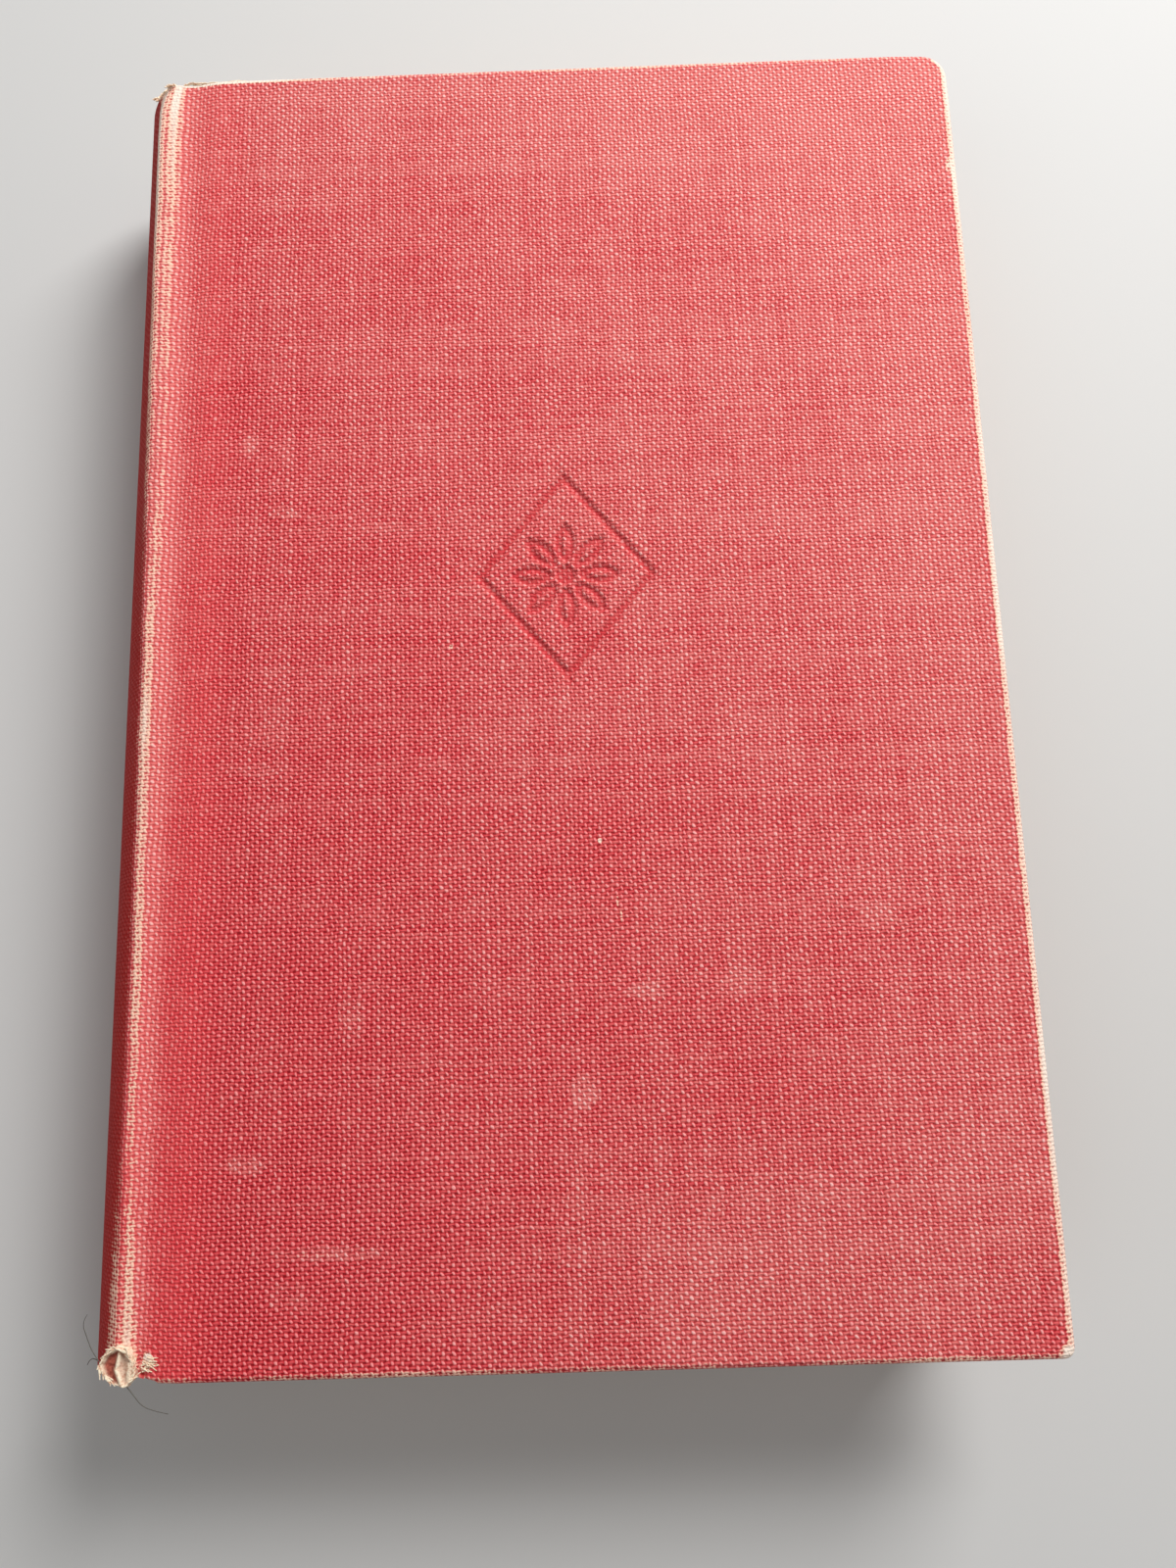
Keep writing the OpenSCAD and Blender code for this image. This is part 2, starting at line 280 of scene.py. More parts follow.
# %% [markdown]
# Book canvas is a plain weave: each upright thread goes over one cross thread and under the
# next. It could be drawn with a checker or a photograph, but a formula keeps its scale and gives
# both a height and a colour. Each thread is rounded across, and rises and falls as a cosine along
# its length. The higher of the two threads shows. Uneven spinning makes each thread a little
# thicker, thinner, lighter or darker than the next.

# %% Weave
# How often the spinning changes from thread to thread, and along one
SLUB_SCALE = (7.31, 0.09)
SLUB = 0.20
THREAD_LIFT = 0.6


def build_weave():
    """Plain weave on a flat cut of cloth whose coordinates are in metres."""
    group, (cloth, upright_pitch, cross_pitch, wander) = new_group(
        "plain_weave", {"Cloth": VECTOR, "Upright_pitch": FLOAT, "Cross_pitch": FLOAT,
                        "Wander": FLOAT},
        {"Height": FLOAT, "Tone": FLOAT, "Upright": FLOAT, "Crown": FLOAT})

    def counted(axis, pitch, slow, quick):
        """Place counted in threads, which wander slowly and a little at each crown."""
        drift = noise(cloth, slow) - 0.5 + (noise(cloth, quick, 1) * 0.36 - 0.18)
        return drift * wander + axis_of(cloth, axis) / pitch

    def thread(position, index, other, seed, rise, plump, lean):
        """Height, tone and closeness to a crown of one set of threads."""
        slub = noise(vector(group, index * SLUB_SCALE[0], other * SLUB_SCALE[1]), 1.0, 1)
        phase = (other - 0.5 + index) * pi
        middle = calc("FRACT", position) - 0.5 + calc("SINE", phase) * lean
        offset = middle / (slub * SLUB + plump)
        squared = offset * offset
        cosine = calc("COSINE", phase)
        height = calc("MAXIMUM", squared * -1.0 + 1.0, 0.0) * (cosine * rise + THREAD_LIFT)
        crown = cosine * copysign(0.8, rise) + 0.2 - squared
        return height, slub * 0.4 + random_of(index, seed) * 0.3, crown

    across = counted(0, upright_pitch, slow=300, quick=1500)
    along = counted(1, cross_pitch, slow=330, quick=1700)
    column, row = calc("FLOOR", across), calc("FLOOR", along)
    upright, upright_tone, upright_crown = thread(
        across, column, along, seed=3.0, rise=0.34, plump=0.31, lean=0.12)
    cross, cross_tone, cross_crown = thread(
        along, row, across, seed=11.0, rise=-0.28, plump=0.32, lean=0.05)
    is_upright = remap(upright - cross, -0.08, 0.08)

    def either(first, second):
        """The first value on an upright thread, the second on a cross one."""
        return (first - second) * is_upright + second

    return end_group(
        group, Height=calc("SMOOTH_MAX", upright, cross, 0.06), Upright=is_upright,
        Tone=random_of(column, row) * 0.3 + either(upright_tone, cross_tone),
        Crown=either(upright_crown, cross_crown))


weave_group = build_weave()


# %% [markdown]
# The cloth was dyed red after weaving, and the size that fills it has worn off where hands and
# shelves rub. So colour follows the weave's height: dark in the pits, pink on the crowns, cream
# where the dye has gone. Part of that is painted light: the pits carry painted shade and the
# crowns a painted highlight, besides the real rubbing. Masks painted on the mesh say where the
# rubbing happened, and a noise breaks them up so that single threads go first. Other masks paint
# the faded dye with its sheen, and the shade on the spine.

# %% Covering cloth
UPRIGHT_PITCH = 0.602 * MM
CROSS_PITCH = 0.492 * MM
WEAVE_RELIEF = 0.11 * MM
PATCHINESS = 0.55
# Dye from fresh to faded with painted sheen, in the pits, on the flanks, on cross threads and on
# the crowns; the dark pits are partly painted shade and the pale crowns partly painted highlight
DYES_AND_RELIEF_SHADE = [((146, 12, 22), (198, 76, 76)), ((206, 52, 60), (224, 112, 108)),
        ((222, 80, 84), (234, 132, 126)), ((255, 142, 142), (252, 194, 188))]
# A mask on the mesh, how much of its tint it brings, and the tint; the second row is painted shade on the spine
TINTS = [("fresh", 0.30, (255, 76, 82)), ("painted_spine_shade", 0.8, (168, 22, 8)),
         ("pressed", 0.5, (196, 44, 52))]


def build_spot():
    """A soft-edged spot on the flat cut, 1 at its middle."""
    group, (cloth, middle, reach) = new_group(
        "spot", {"Cloth": VECTOR, "Middle": VECTOR, "Reach": VECTOR}, {"Mask": FLOAT})
    away = node(group, "VectorMath", 0, {0: cloth, 1: middle}, operation="SUBTRACT")
    share = node(group, "VectorMath", 0, {0: away, 1: reach}, operation="DIVIDE")
    length = node(group, "VectorMath", "Value", {0: share}, operation="LENGTH")
    return end_group(group, Mask=remap(length, 0.5, 1.0, 1.0, 0.0))


spot_group = build_spot()


def build_covering_cloth(name, marks, smears):
    material, tree = new_material(name)
    cloth = node(tree, "UVMap", 0, {}, uv_map="cut")
    weave = use_group(tree, weave_group, Cloth=cloth, Upright_pitch=UPRIGHT_PITCH,
                      Cross_pitch=CROSS_PITCH, Wander=1.2)
    height = weave["Height"]
    patch = noise(cloth, 45, 4, 0.62)
    grain = noise(cloth, 800, 3, 0.7)
    broken = remap(grain, 0.3, 0.7, 0.2, 1.2)

    def spot(middle, reach):
        return use_group(tree, spot_group, Cloth=cloth, Middle=(*middle, 0),
                         Reach=(*reach, MM))["Mask"]

    # Paleness: faded dye and a painted sheen, with random patches and smears.
    fading_and_sheen = attribute(tree, "faded_and_sheen") + (patch - 0.5) * PATCHINESS + (weave["Tone"] - 0.5)
    for middle, reach, strength in smears:
        fading_and_sheen = spot(middle, reach) * broken * strength + fading_and_sheen
    fading_and_sheen = remap(fading_and_sheen, 0.0, 1.0)
    pits, flanks, cross, crowns = [blend(fading_and_sheen, shade(*deep), shade(*pale))
                                   for deep, pale in DYES_AND_RELIEF_SHADE]
    # Darker pits and pale crowns are partly real rubbing, partly painted shade and highlight.
    colour = blend(weave["Upright"], cross, crowns)
    colour = blend(remap(weave["Crown"], 0.15, 0.75), flanks, colour)
    colour = blend(remap(height, 0.06, 0.46), pits, colour)
    for mask, amount, tint in TINTS:
        colour = blend(attribute(tree, mask) * amount, colour, shade(*tint))

    worn = attribute(tree, "worn")
    for middle, reach, strength in marks:
        worn = spot(middle, reach) * strength + worn
    bite = (grain * 0.7 + height * 0.35 - 0.55) * 1.3
    rubbed = remap(bite + worn, 0.35, 0.75) * remap(worn, 0.02, 0.2)
    # Bare threads are darker in the pits too: partly painted shade.
    bare = blend(remap(height, 0.06, 0.6), shade(200, 92, 74), shade(255, 206, 182))
    bare = blend(remap(worn, 0.7, 1.1), bare, shade(250, 230, 214))
    relief = noise(cloth, 5200, 2, 0.6) * 0.22 + height
    return finish_material(material, blend(rubbed, colour, bare),
                           remap(grain, 0.2, 0.8, 0.78, 0.95), relief, WEAVE_RELIEF, gloss=0.2)


# %% [markdown]
# Paper needs little: a warm tone that browns in soft clouds, a faint fibre and almost no gloss.
# One group serves the leaves, the endpapers, the board and the brown lining, each with its own
# colours. On the leaves, fine lines follow the height so that the edges read as many sheets.

# %% Paper, board and thread
LINES_PER_M = 5200.0
LINE_SWAY = 12.0


def build_paper_tone():
    """Colour and fibre of paper or board."""
    group, (place, plain, aged) = new_group(
        "paper", {"Place": VECTOR, "Plain": COLOUR, "Aged": COLOUR},
        {"Colour": COLOUR, "Fibre": FLOAT})
    fibre = noise(place, 1400, 4, 0.7)
    colour = blend(remap(noise(place, 45, 3, 0.6), 0.3, 0.75), plain, aged)
    return end_group(group, Fibre=fibre,
                     Colour=blend(remap(fibre, 0.45, 0.8) * 0.25, colour, aged))


paper_group = build_paper_tone()


def build_paper(name, plain, aged, lines=False):
    material, tree = new_material(name)
    place = node(tree, "TexCoord", "Object", {})
    paper = use_group(tree, paper_group, Place=place, Plain=plain, Aged=aged)
    colour, relief = paper["Colour"], paper["Fibre"]
    if lines:
        stack = vector(tree, axis_of(place, 0) * LINE_SWAY, axis_of(place, 1) * LINE_SWAY,
                       attribute(tree, "leaf") * LINES_PER_M)
        relief = noise(stack, 1.0, 2, 0.7)
        colour = blend(remap(relief, 0.35, 0.6, 1.0, 0.0) * 0.55, colour, shade(150, 118, 82))
    return finish_material(material, colour, remap(paper["Fibre"], 0.3, 0.8, 0.82, 0.96), relief,
                           0.06 * MM, strength=0.5, gloss=0.2)


endpaper = build_paper("endpaper", shade(232, 219, 190), shade(223, 206, 173))
leaves_paper = build_paper("leaves", shade(226, 208, 170), shade(200, 172, 126), lines=True)
brown_paper = build_paper("liner_paper", shade(176, 142, 104), shade(150, 114, 80))
grey_board = build_paper("board", shade(158, 138, 106), shade(134, 112, 84))


def build_thread_cloth(name, dark, pale, pitch):
    """Plain open cloth or thread that keeps to the object's own coordinates."""
    material, tree = new_material(name)
    weave = use_group(tree, weave_group, Cloth=node(tree, "TexCoord", "Object", {}),
                      Upright_pitch=pitch, Cross_pitch=pitch, Wander=0.4)
    return finish_material(material, blend(remap(weave["Height"], 0.2, 0.8), dark, pale), 0.9,
                           weave["Height"], 0.1 * MM)


mull_cloth = build_thread_cloth("mull", shade(150, 132, 104), shade(222, 210, 182), 1.4 * MM)
linen_thread = build_thread_cloth("thread", shade(170, 156, 126), shade(234, 226, 204), 0.5 * MM)


# %% [markdown]
# The covering cloth is cut flat and folded, so its mesh is made the same way: a grid laid out in
# the cloth's own flat coordinates, then bent over the spine, the ridge, the joint and the board.
# The flat coordinates stay on every vertex, and become the UV map that the weave is drawn on, so
# the threads run over each fold without a seam. Folding a rounded box would lose that.

# %% Flat cut to folded place
spine_run = spine_r * ridge_angle
ridge_run = RIDGE_ROUND * (pi / 2 - ridge_angle)
flat_start = spine_run + ridge_run


def groove(x):
    """Depth of the pressed groove at x, and its slope. It is steeper on the ridge's side."""
    side = GROOVE_BACK if x < hinge_x else GROOVE_FRONT
    t = (x - hinge_x) / side
    if abs(t) >= 1:
        return 0.0, 0.0
    depth = GROOVE_DEPTH * cos(pi / 2 * t) ** 2
    slope = -GROOVE_DEPTH * pi / 2 / side * sin(pi * t)
    return depth, slope


def folded(run):
    """Place in X and Z, and outward normal, of the cloth's outer face this far from the crown."""
    if run < spine_run:
        angle, radius = run / spine_r, spine_r
        centre = Vector((spine_x, 0, mid_z))
    elif run < flat_start:
        angle, radius = ridge_angle + (run - spine_run) / RIDGE_ROUND, RIDGE_ROUND
        centre = Vector((ridge_x, 0, mid_z + ridge_z))
    else:
        x = ridge_x + run - flat_start
        depth, slope = groove(x)
        return Vector((x, 0, thickness - depth)), Vector((slope, 0, 1)).normalized()
    normal = Vector((-cos(angle), 0, sin(angle)))
    return centre + normal * radius, normal


def run_at(x):
    """Distance along the cloth from the crown to x on the flat of the cover."""
    return flat_start + x - ridge_x


print("cloth from the crown to the fore edge", round(run_at(fore_x), 4))


# %% [markdown]
# A grid with even steps would waste faces on the plain parts. Its columns are moved to stations
# instead: close together on the ridge and in the groove, wide apart elsewhere. The stations near
# a corner let the square grid be pulled round. The stamp is the only fine detail, so only the
# faces under it are subdivided later.

# %% Stations for the cloth's grid
SPINE_STEP, RIDGE_STEP, JOINT_STEP, PLAIN_STEP = 0.8 * MM, 0.2 * MM, 0.35 * MM, 1.5 * MM
PAST_JOINT = 3 * MM


def spread(low, high, step):
    """Even stations from low up to, but not at, high."""
    count = max(1, round((high - low) / step))
    return [low + (high - low) * k / count for k in range(count)]


corner_steps = [step * MM for step in (2.7, 2.1, 1.5, 1.0, 0.5, 0.25, 0.0)]
rim_run = run_at(fore_x) - EDGE_ROUND
rim_height = half_height - EDGE_ROUND
board_run = run_at(board_x)
across_stations = (
    spread(0, spine_run, SPINE_STEP)
    + spread(spine_run, flat_start, RIDGE_STEP)
    + spread(flat_start, board_run + PAST_JOINT, JOINT_STEP)
    + spread(board_run + PAST_JOINT, rim_run - corner_steps[0], PLAIN_STEP)
    + [rim_run - step for step in corner_steps])
along_stations = (
    [step - rim_height for step in reversed(corner_steps)][:-1]
    + spread(corner_steps[0] - rim_height, rim_height - corner_steps[0], PLAIN_STEP)
    + [rim_height - step for step in corner_steps])
print("grid", len(across_stations), "by", len(along_stations))


# %% [markdown]
# The stamp, the wear and the frayed edges all come and go softly along the cloth. A few small
# functions serve them all: a step, a ramp between two distances, a bump round one, and a wobble
# that is uneven but the same on each run. A place comes in metres, as everything in the scene
# does, but the limits beside it are in millimetres, which are easier to read.

# %% Soft steps and bumps
WOBBLE_SCALES = (90, 210, 470)


def smooth(value):
    """Soft step that goes from 0 to 1 as the value does."""
    t = min(max(value, 0), 1)
    return t * t * (3 - 2 * t)


def ramp(distance, low, high):
    """Soft step from 0 at low to 1 at high, in mm. It falls where low is the greater."""
    return smooth((distance / MM - low) / (high - low))


def bump(distance, middle, width):
    """Soft bump, 1 at its middle. The middle and the width are in mm."""
    return exp(-((distance / MM - middle) / width) ** 2)


def wobble(value, seed):
    """Smooth uneven number from about -1 to 1 along a line."""
    waves = [sin(value * scale + seed * (k + 1) * 1.7) / (k + 1.5)
             for k, scale in enumerate(WOBBLE_SCALES)]
    return sum(waves) / 1.4


print("a ramp half way", ramp(5 * MM, 0, 10))


# %% [markdown]
# The front cover carries a blind stamp: a heated brass tool pressed the cloth into the board, and
# no colour was added. It is a plain lozenge round an eight-petalled rosette. Each vertex's
# distance to the outlines is worked out, and a soft step turns it into depth.

# %% Blind stamp
STAMP_AT = Vector((2.2, 10.4)) * MM
STAMP_HALF = Vector((12, 14.5)) * MM
STAMP_MARGIN = 0.8 * MM
STAMP_DEPTH = 0.34 * MM
BORDER_W = 0.8 * MM
PETALS = 8
PETAL_LEN = 5.6 * MM
PETAL_W = 2.6 * MM
# Length and width of a petal's raised rib, as shares of the petal's own
RIB = (0.62, 0.34)
EYE_R = 1.3 * MM
SOFT_STEP = 0.3 * MM


def soft_inside(distance):
    """One well inside an outline, nought outside, with a soft step between."""
    return smooth(0.5 - distance / SOFT_STEP)


def petal_distance(x, y, length, width):
    radius = (length ** 2 + width ** 2) / (4 * width)
    return hypot(x, abs(y) + radius - width / 2) - radius


def pressed_at(x, y):
    """How far the stamp presses at this place, from 0 to 1."""
    dx, dy = x - STAMP_AT.x, y - STAMP_AT.y
    side = STAMP_HALF.x * STAMP_HALF.y / STAMP_HALF.length
    edge = (abs(dx) / STAMP_HALF.x + abs(dy) / STAMP_HALF.y - 1) * side
    border = soft_inside(max(edge, -edge - BORDER_W))
    turn = 2 * pi / PETALS
    angle = (atan2(dy, dx) - pi / 2) % turn
    angle = min(angle, turn - angle)
    reach = hypot(dx, dy)
    px = reach * cos(angle) - (EYE_R + BORDER_W / 2 + PETAL_LEN / 2)
    py = reach * sin(angle)
    leaf = soft_inside(petal_distance(px, py, PETAL_LEN, PETAL_W))
    rib = soft_inside(petal_distance(px, py, PETAL_LEN * RIB[0], PETAL_W * RIB[1]))
    eye = soft_inside(reach - EYE_R)
    return max(border, leaf - rib, eye)


print("stamp at its middle", pressed_at(STAMP_AT.x, STAMP_AT.y))


# %% [markdown]
# Wear is painted as numbers on the vertices. The ridge is bare where the book was pulled from
# shelves: the cream line wanders from its front to its back and is widest at the tail. Behind
# it lies a paler band, partly worn and partly painted light, then fresh red in the joint that
# light never reached. Towards the head and the fore edge the rest is paler, partly faded by light
# and partly a painted sheen. The spine is darkened with painted shade. The functions take the
# cloth's flat coordinates, so the same rules serve both covers.

# %% Where the cloth is worn
# Height, place of the line past the ridge, its half width and its strength
RIDGE_WEAR = [(-88, 0.9, 1.5, 1.10), (-81, 0.9, 1.0, 0.85), (-75, 0.8, 0.9, 0.62),
              (-65, 0.5, 1.0, 0.40), (-54, 0.3, 1.0, 0.64), (-43, 0.3, 1.0, 0.78),
              (-21, 0.1, 1.0, 0.78), (-8, 0.1, 1.0, 0.76), (4, 0.3, 1.0, 0.64),
              (27, 1.2, 1.1, 0.48), (54, 0.9, 1.0, 0.55), (68, 1.1, 0.9, 0.62),
              (82, 1.0, 0.9, 0.90), (88, 1.0, 1.0, 1.10)]


def along_list(table, height):
    """Values between the two rows of the table on each side of this height."""
    height = min(max(height, table[0][0]), table[-1][0])
    for low, high in zip(table, table[1:]):
        if height <= high[0]:
            t = (height - low[0]) / (high[0] - low[0])
            return [a + (b - a) * t for a, b in zip(low[1:], high[1:])]


def worn_on_ridge(run, v, seed):
    """The bare line on the ridge, two bands on its spine's side and a faint one before it."""
    middle, width, strength = along_list(RIDGE_WEAR, v / MM)
    by_head, by_tail = 0.30 * ramp(v, 50, 75), 0.40 * ramp(-v, 60, 82)
    bands = [(strength * (1 + 0.25 * wobble(v, seed)), middle, width),
             (0.28 + 0.50 * ramp(v, 0, 50) + by_head + by_tail, -1.2, 1.7),
             (max(0.62 * ramp(v, 15, 65), 0.46 * ramp(-v, 64, 80)) + by_head, -1.9, 1.4),
             (0.24 + 0.05 * wobble(v, seed + 4), 2.0, 1.6)]
    return max(amount * bump(run - flat_start, place, half) for amount, place, half in bands)


def worn_on_rim(run, v, past, seed):
    """The rubbed edges; past is how far the point lies beyond the grid's rim."""
    over_spine = run < flat_start + 3 * MM
    rim, reach = 0.50 + 0.20 * wobble(run + v, seed + 2), 0.5
    if v > rim_height - MM:
        rim += 0.75 * ramp(run, 52.5, 10.5) + 0.10
    if run > rim_run - MM:
        rim, reach = 0.92 + 0.14 * wobble(v, seed + 3), 0.6 + 0.7 * bump(v, 69.7, 1.0)
    rim *= ramp(past, -reach, 0.8 - reach)
    turn = 1.3 if over_spine else 2.7
    rim *= 1 - 0.85 * ramp(past, turn, turn + 1)
    return rim if over_spine else rim * (1 - 0.5 * bump(past, 1.8, 0.6))


def worn_at(run, v, past, seed):
    """Bare cloth from 0 to 1, and a little above where not a thread of dye is left."""
    rim = worn_on_rim(run, v, past, seed) if past > -1.2 * MM else 0
    tip = hypot(run - rim_run, abs(v) - rim_height)
    corner = 1.1 * ramp(tip, 1.6, 0.6) if v < 0 else 0.25 * ramp(tip, 5, 3)
    return max(0.0, min(1.3, max(worn_on_ridge(run, v, seed), rim, corner)))


def fresh_at(run, v):
    place = run - flat_start
    beside = (0.55 + 0.55 * ramp(v, 135, -45)) * bump(place, 5.4, 4.2)
    return max(beside, 1.1 * ramp(-v, 0, 60) * bump(place, 0, 2.4))


# Paler as faded dye and painted sheen towards head and fore edge; painted light beside the ridge
def faded_and_sheen_at(run, v):
    place = run - flat_start
    height, width = (v / half_height + 1) / 2, place / (rim_run - flat_start)
    paler_and_lit_by_ridge = max(0.8 * bump(place, 1.6, 2.4), 0.22 * bump(place, 5.0, 2.6))
    at_head = 0.22 * ramp(v, 62, 86) * smooth(width * 2 + 0.4)
    at_tail = 0.24 * ramp(-v, 50, 80) * smooth(width * 1.6 - 0.2)
    corner = 0.45 * ramp(hypot(run - rim_run, v + rim_height), 22, 0)
    return 0.40 * height + 0.44 * max(width, 0) - 0.02 + paler_and_lit_by_ridge + at_head + at_tail - corner


# Painted shade: the spine is darkened as if it lay in shadow, fading out at the ridge.
def painted_shade_at(run):
    return ramp(run - spine_run, 0.3, -0.9)


print("bare at the tail of the ridge", round(worn_at(flat_start, -88 * MM, 0, 1), 2))


# %% [markdown]
# Past the edge of the grid the cloth turns round the board and lies on its inside. The rim of the
# grid is extruded ring by ring, and each ring is moved along a path: a quarter turn, the board's
# thickness, another quarter turn, then back in. At a corner the inner rings shrink to a point, so
# the turn-ins meet on a mitre as the real ones do.

# %% Rim paths
SPINE_WRAP = 1.3 * MM
JOINT_WRAP = 2 * CLOTH_T
TOUCH = 1e-7
RIM_RINGS = [(stage, k / count) for stage, count in (
    ("top", 4), ("side", 2), ("under", 4), ("flap", 5)) for k in range(1, count + 1)]


def wrap_thickness(run):
    """How far the turned-in cloth lies behind the outer face."""
    thick = SPINE_WRAP + (JOINT_WRAP - SPINE_WRAP) * ramp(run - spine_run, -2, 1)
    return thick + (COVER_T - thick) * ramp(run - board_run, -0.6, 0.3)


class RimPoint:
    """One vertex on the edge of the grid, and the way its cloth folds round the board."""

    def __init__(self, run, v, corner_r):
        self.run, self.v = run, v
        self.sign = 1 if v > 0 else -1
        self.radius = max(corner_r - EDGE_ROUND, 0)
        offset = Vector((run - rim_run + self.radius, abs(v) - rim_height + self.radius))
        self.in_corner = offset.x > TOUCH and offset.y > TOUCH
        if self.in_corner:
            out = offset.normalized()
        else:
            at_side = run > rim_run - TOUCH and abs(v) <= rim_height - TOUCH
            out = Vector((1, 0)) if at_side else Vector((0, 1))
        self.out = Vector((out.x, out.y * self.sign))
        self.place, self.normal = folded(run)
        self.place.y = v
        tangent = Vector((self.normal.z, 0, -self.normal.x))
        self.side = tangent * self.out.x + Vector((0, self.out.y, 0))
        self.wrap = wrap_thickness(run)
        self.bend = min(EDGE_ROUND, self.wrap / 2)

    def at(self, stage, share):
        """Place of the outer face, and distance along the cloth, at a share of a stage."""
        bend, quarter = self.bend, self.bend * pi / 2
        straight = self.wrap - 2 * bend
        if stage == "flap":
            depth = share * (TURN_IN - bend)
            return self.inner(depth), 2 * quarter + straight + depth
        sine, cosine = sin(share * pi / 2), cos(share * pi / 2)
        out, down, length = {
            "top": (bend * sine, bend * (1 - cosine), quarter * share),
            "side": (bend, bend + straight * share, quarter + straight * share),
            "under": (bend * cosine, self.wrap - bend * (1 - sine),
                      quarter + straight + quarter * share)}[stage]
        return self.place + self.side * out - self.normal * down, length

    def inner(self, depth):
        """Place on the inside of the board, this far in from the grid's rim."""
        reach = max(depth, self.radius)
        run, v = self.run, abs(self.v)
        if self.in_corner:
            left = max(self.radius - depth, 0)
            run = rim_run - reach + self.out.x * left
            v = rim_height - reach + abs(self.out.y) * left
        elif self.out.x > 0:
            run = rim_run - depth
            v *= (rim_height - reach) / (rim_height - self.radius)
        else:
            v = rim_height - depth
            if run > board_run:
                run = board_run + (run - board_run) * (rim_run - reach - board_run) / (
                    rim_run - self.radius - board_run)
        place, normal = folded(run)
        place.y = v * self.sign
        return place - normal * self.wrap


turned_in = RimPoint(rim_run, 0, 0).at("flap", 1)[1]
FLAT_CUT = (rim_run + turned_in, 2 * (rim_height + turned_in))
print("half of the cloth was cut to", [round(v, 4) for v in FLAT_CUT])


# %% [markdown]
# A sheet starts as a grid in bmesh, which holds a mesh in memory while it is built and keeps any
# number of extra values on each vertex. These helpers serve every sheet in the lesson: they lay
# the grid out on uneven stations, make all faces look outward and hand over the finished mesh.
# Its thickness comes from a modifier that works inwards, so the outer face stays in place.

# %% Helpers for sheets
WELD = 1e-6
JOINT_HALF = 1.7 * MM


def add_grid(bm, columns, rows, half=1):
    """Adds a square grid and gives its vertices."""
    return bmesh.ops.create_grid(bm, x_segments=columns, y_segments=rows, size=half)["verts"]


def station_grid(bm, columns, rows):
    """Vertices of a grid, each with the stations of its column and its row."""
    last_column, last_row = len(columns) - 1, len(rows) - 1
    return [(vert, columns[round((vert.co.x + 1) / 2 * last_column)],
             rows[round((vert.co.y + 1) / 2 * last_row)])
            for vert in add_grid(bm, last_column, last_row)]


def to_disc(a, b):
    """Moves a point of a square from -1 to 1 to its place in a disc."""
    return a * sqrt(1 - b * b / 2), b * sqrt(1 - a * a / 2)


def extrude_rim(bm, rim):
    """Adds a ring of faces, and gives the edges and the vertices of its free side."""
    made = bmesh.ops.extrude_edge_only(bm, edges=rim)["geom"]
    return ([part for part in made if isinstance(part, bmesh.types.BMEdge)],
            [part for part in made if isinstance(part, bmesh.types.BMVert)])


def face_outward(bm, measure, way=1):
    """Makes the faces agree. The one of the greatest measure looks up, or down for -1."""
    bmesh.ops.recalc_face_normals(bm, faces=bm.faces[:])
    if max(bm.faces, key=measure).normal.z * way < 0:
        bmesh.ops.reverse_faces(bm, faces=bm.faces[:])


def turn_to_back(bm):
    """Mirrors what was made over the front of the book to its back."""
    for vert in bm.verts:
        vert.co.z = thickness - vert.co.z
    bmesh.ops.reverse_faces(bm, faces=bm.faces[:])


def mesh_of(bm, name, material, smooth_faces=True):
    for face in bm.faces:
        face.smooth = smooth_faces
    mesh = bpy.data.meshes.new(name)
    bm.to_mesh(mesh)
    bm.free()
    mesh.materials.append(material)
    print(name, "faces", len(mesh.polygons))
    return mesh


def add_bending(name, mesh, body, on_back, sheet_t=0):
    """Adds a piece that bends about the hinge line when its cover opens. A sheet gets its
    thickness behind the face that shows."""
    piece = add_object(name, mesh)
    if sheet_t:
        wall = piece.modifiers.new("thickness", "SOLIDIFY")
        wall.thickness = sheet_t
        wall.offset = -1
        wall.use_even_offset = False
    height = GROOVE_DEPTH if on_back else thickness - GROOVE_DEPTH
    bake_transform(piece, "text_block", body, start=(hinge_x - JOINT_HALF, 0, height),
             end=(hinge_x + JOINT_HALF, 0, height))
    return piece


print("the cloth bends over", round(2 * JOINT_HALF, 4))


# %% [markdown]
# The cloth over one cover, its joint and half of the spine is folded from one grid. The grid's
# own corners are rounded and only the faces under the stamp are subdivided, so every vertex
# keeps its place on the flat cut. A bevel modifier would not know that place.

# %% Fold the cloth over one cover
FLAT_LAYERS = ("flat_u", "flat_v", "past")
MASK_LAYERS = ("worn", "fresh", "faded_and_sheen", "painted_spine_shade", "pressed")
STAMP_CUTS = 5


def round_corner(run, v, head_r, tail_r):
    """Pulls the square corner of the grid round: the square's edge goes to a circle's arc."""
    radius = max((head_r if v > 0 else tail_r) - EDGE_ROUND, 0)
    a = (run - rim_run + radius) / radius if radius else 0
    b = (abs(v) - rim_height + radius) / radius if radius else 0
    if a <= 0 or b <= 0:
        return run, v
    a, b = to_disc(a, b)
    return (rim_run - radius + radius * a,
            copysign(rim_height - radius + radius * b, v))


def in_stamp(vert):
    return (abs(vert.co.x - STAMP_AT.x) < STAMP_HALF.x + STAMP_MARGIN
            and abs(vert.co.y - STAMP_AT.y) < STAMP_HALF.y + STAMP_MARGIN)


def press_stamp(bm, pressed):
    fine = [e for e in bm.edges if all(in_stamp(v) for v in e.verts)]
    bmesh.ops.subdivide_edges(bm, edges=fine, cuts=STAMP_CUTS, use_grid_fill=True)
    for vert in bm.verts:
        if in_stamp(vert):
            vert[pressed] = pressed_at(vert.co.x, vert.co.y)
            vert.co.z -= vert[pressed] * STAMP_DEPTH


def free_rim(bm, flat_u):
    """Edges round the sheet, but for those on the crown, where the halves meet."""
    return [e for e in bm.edges if e.is_boundary and not all(v[flat_u] < TOUCH for v in e.verts)]


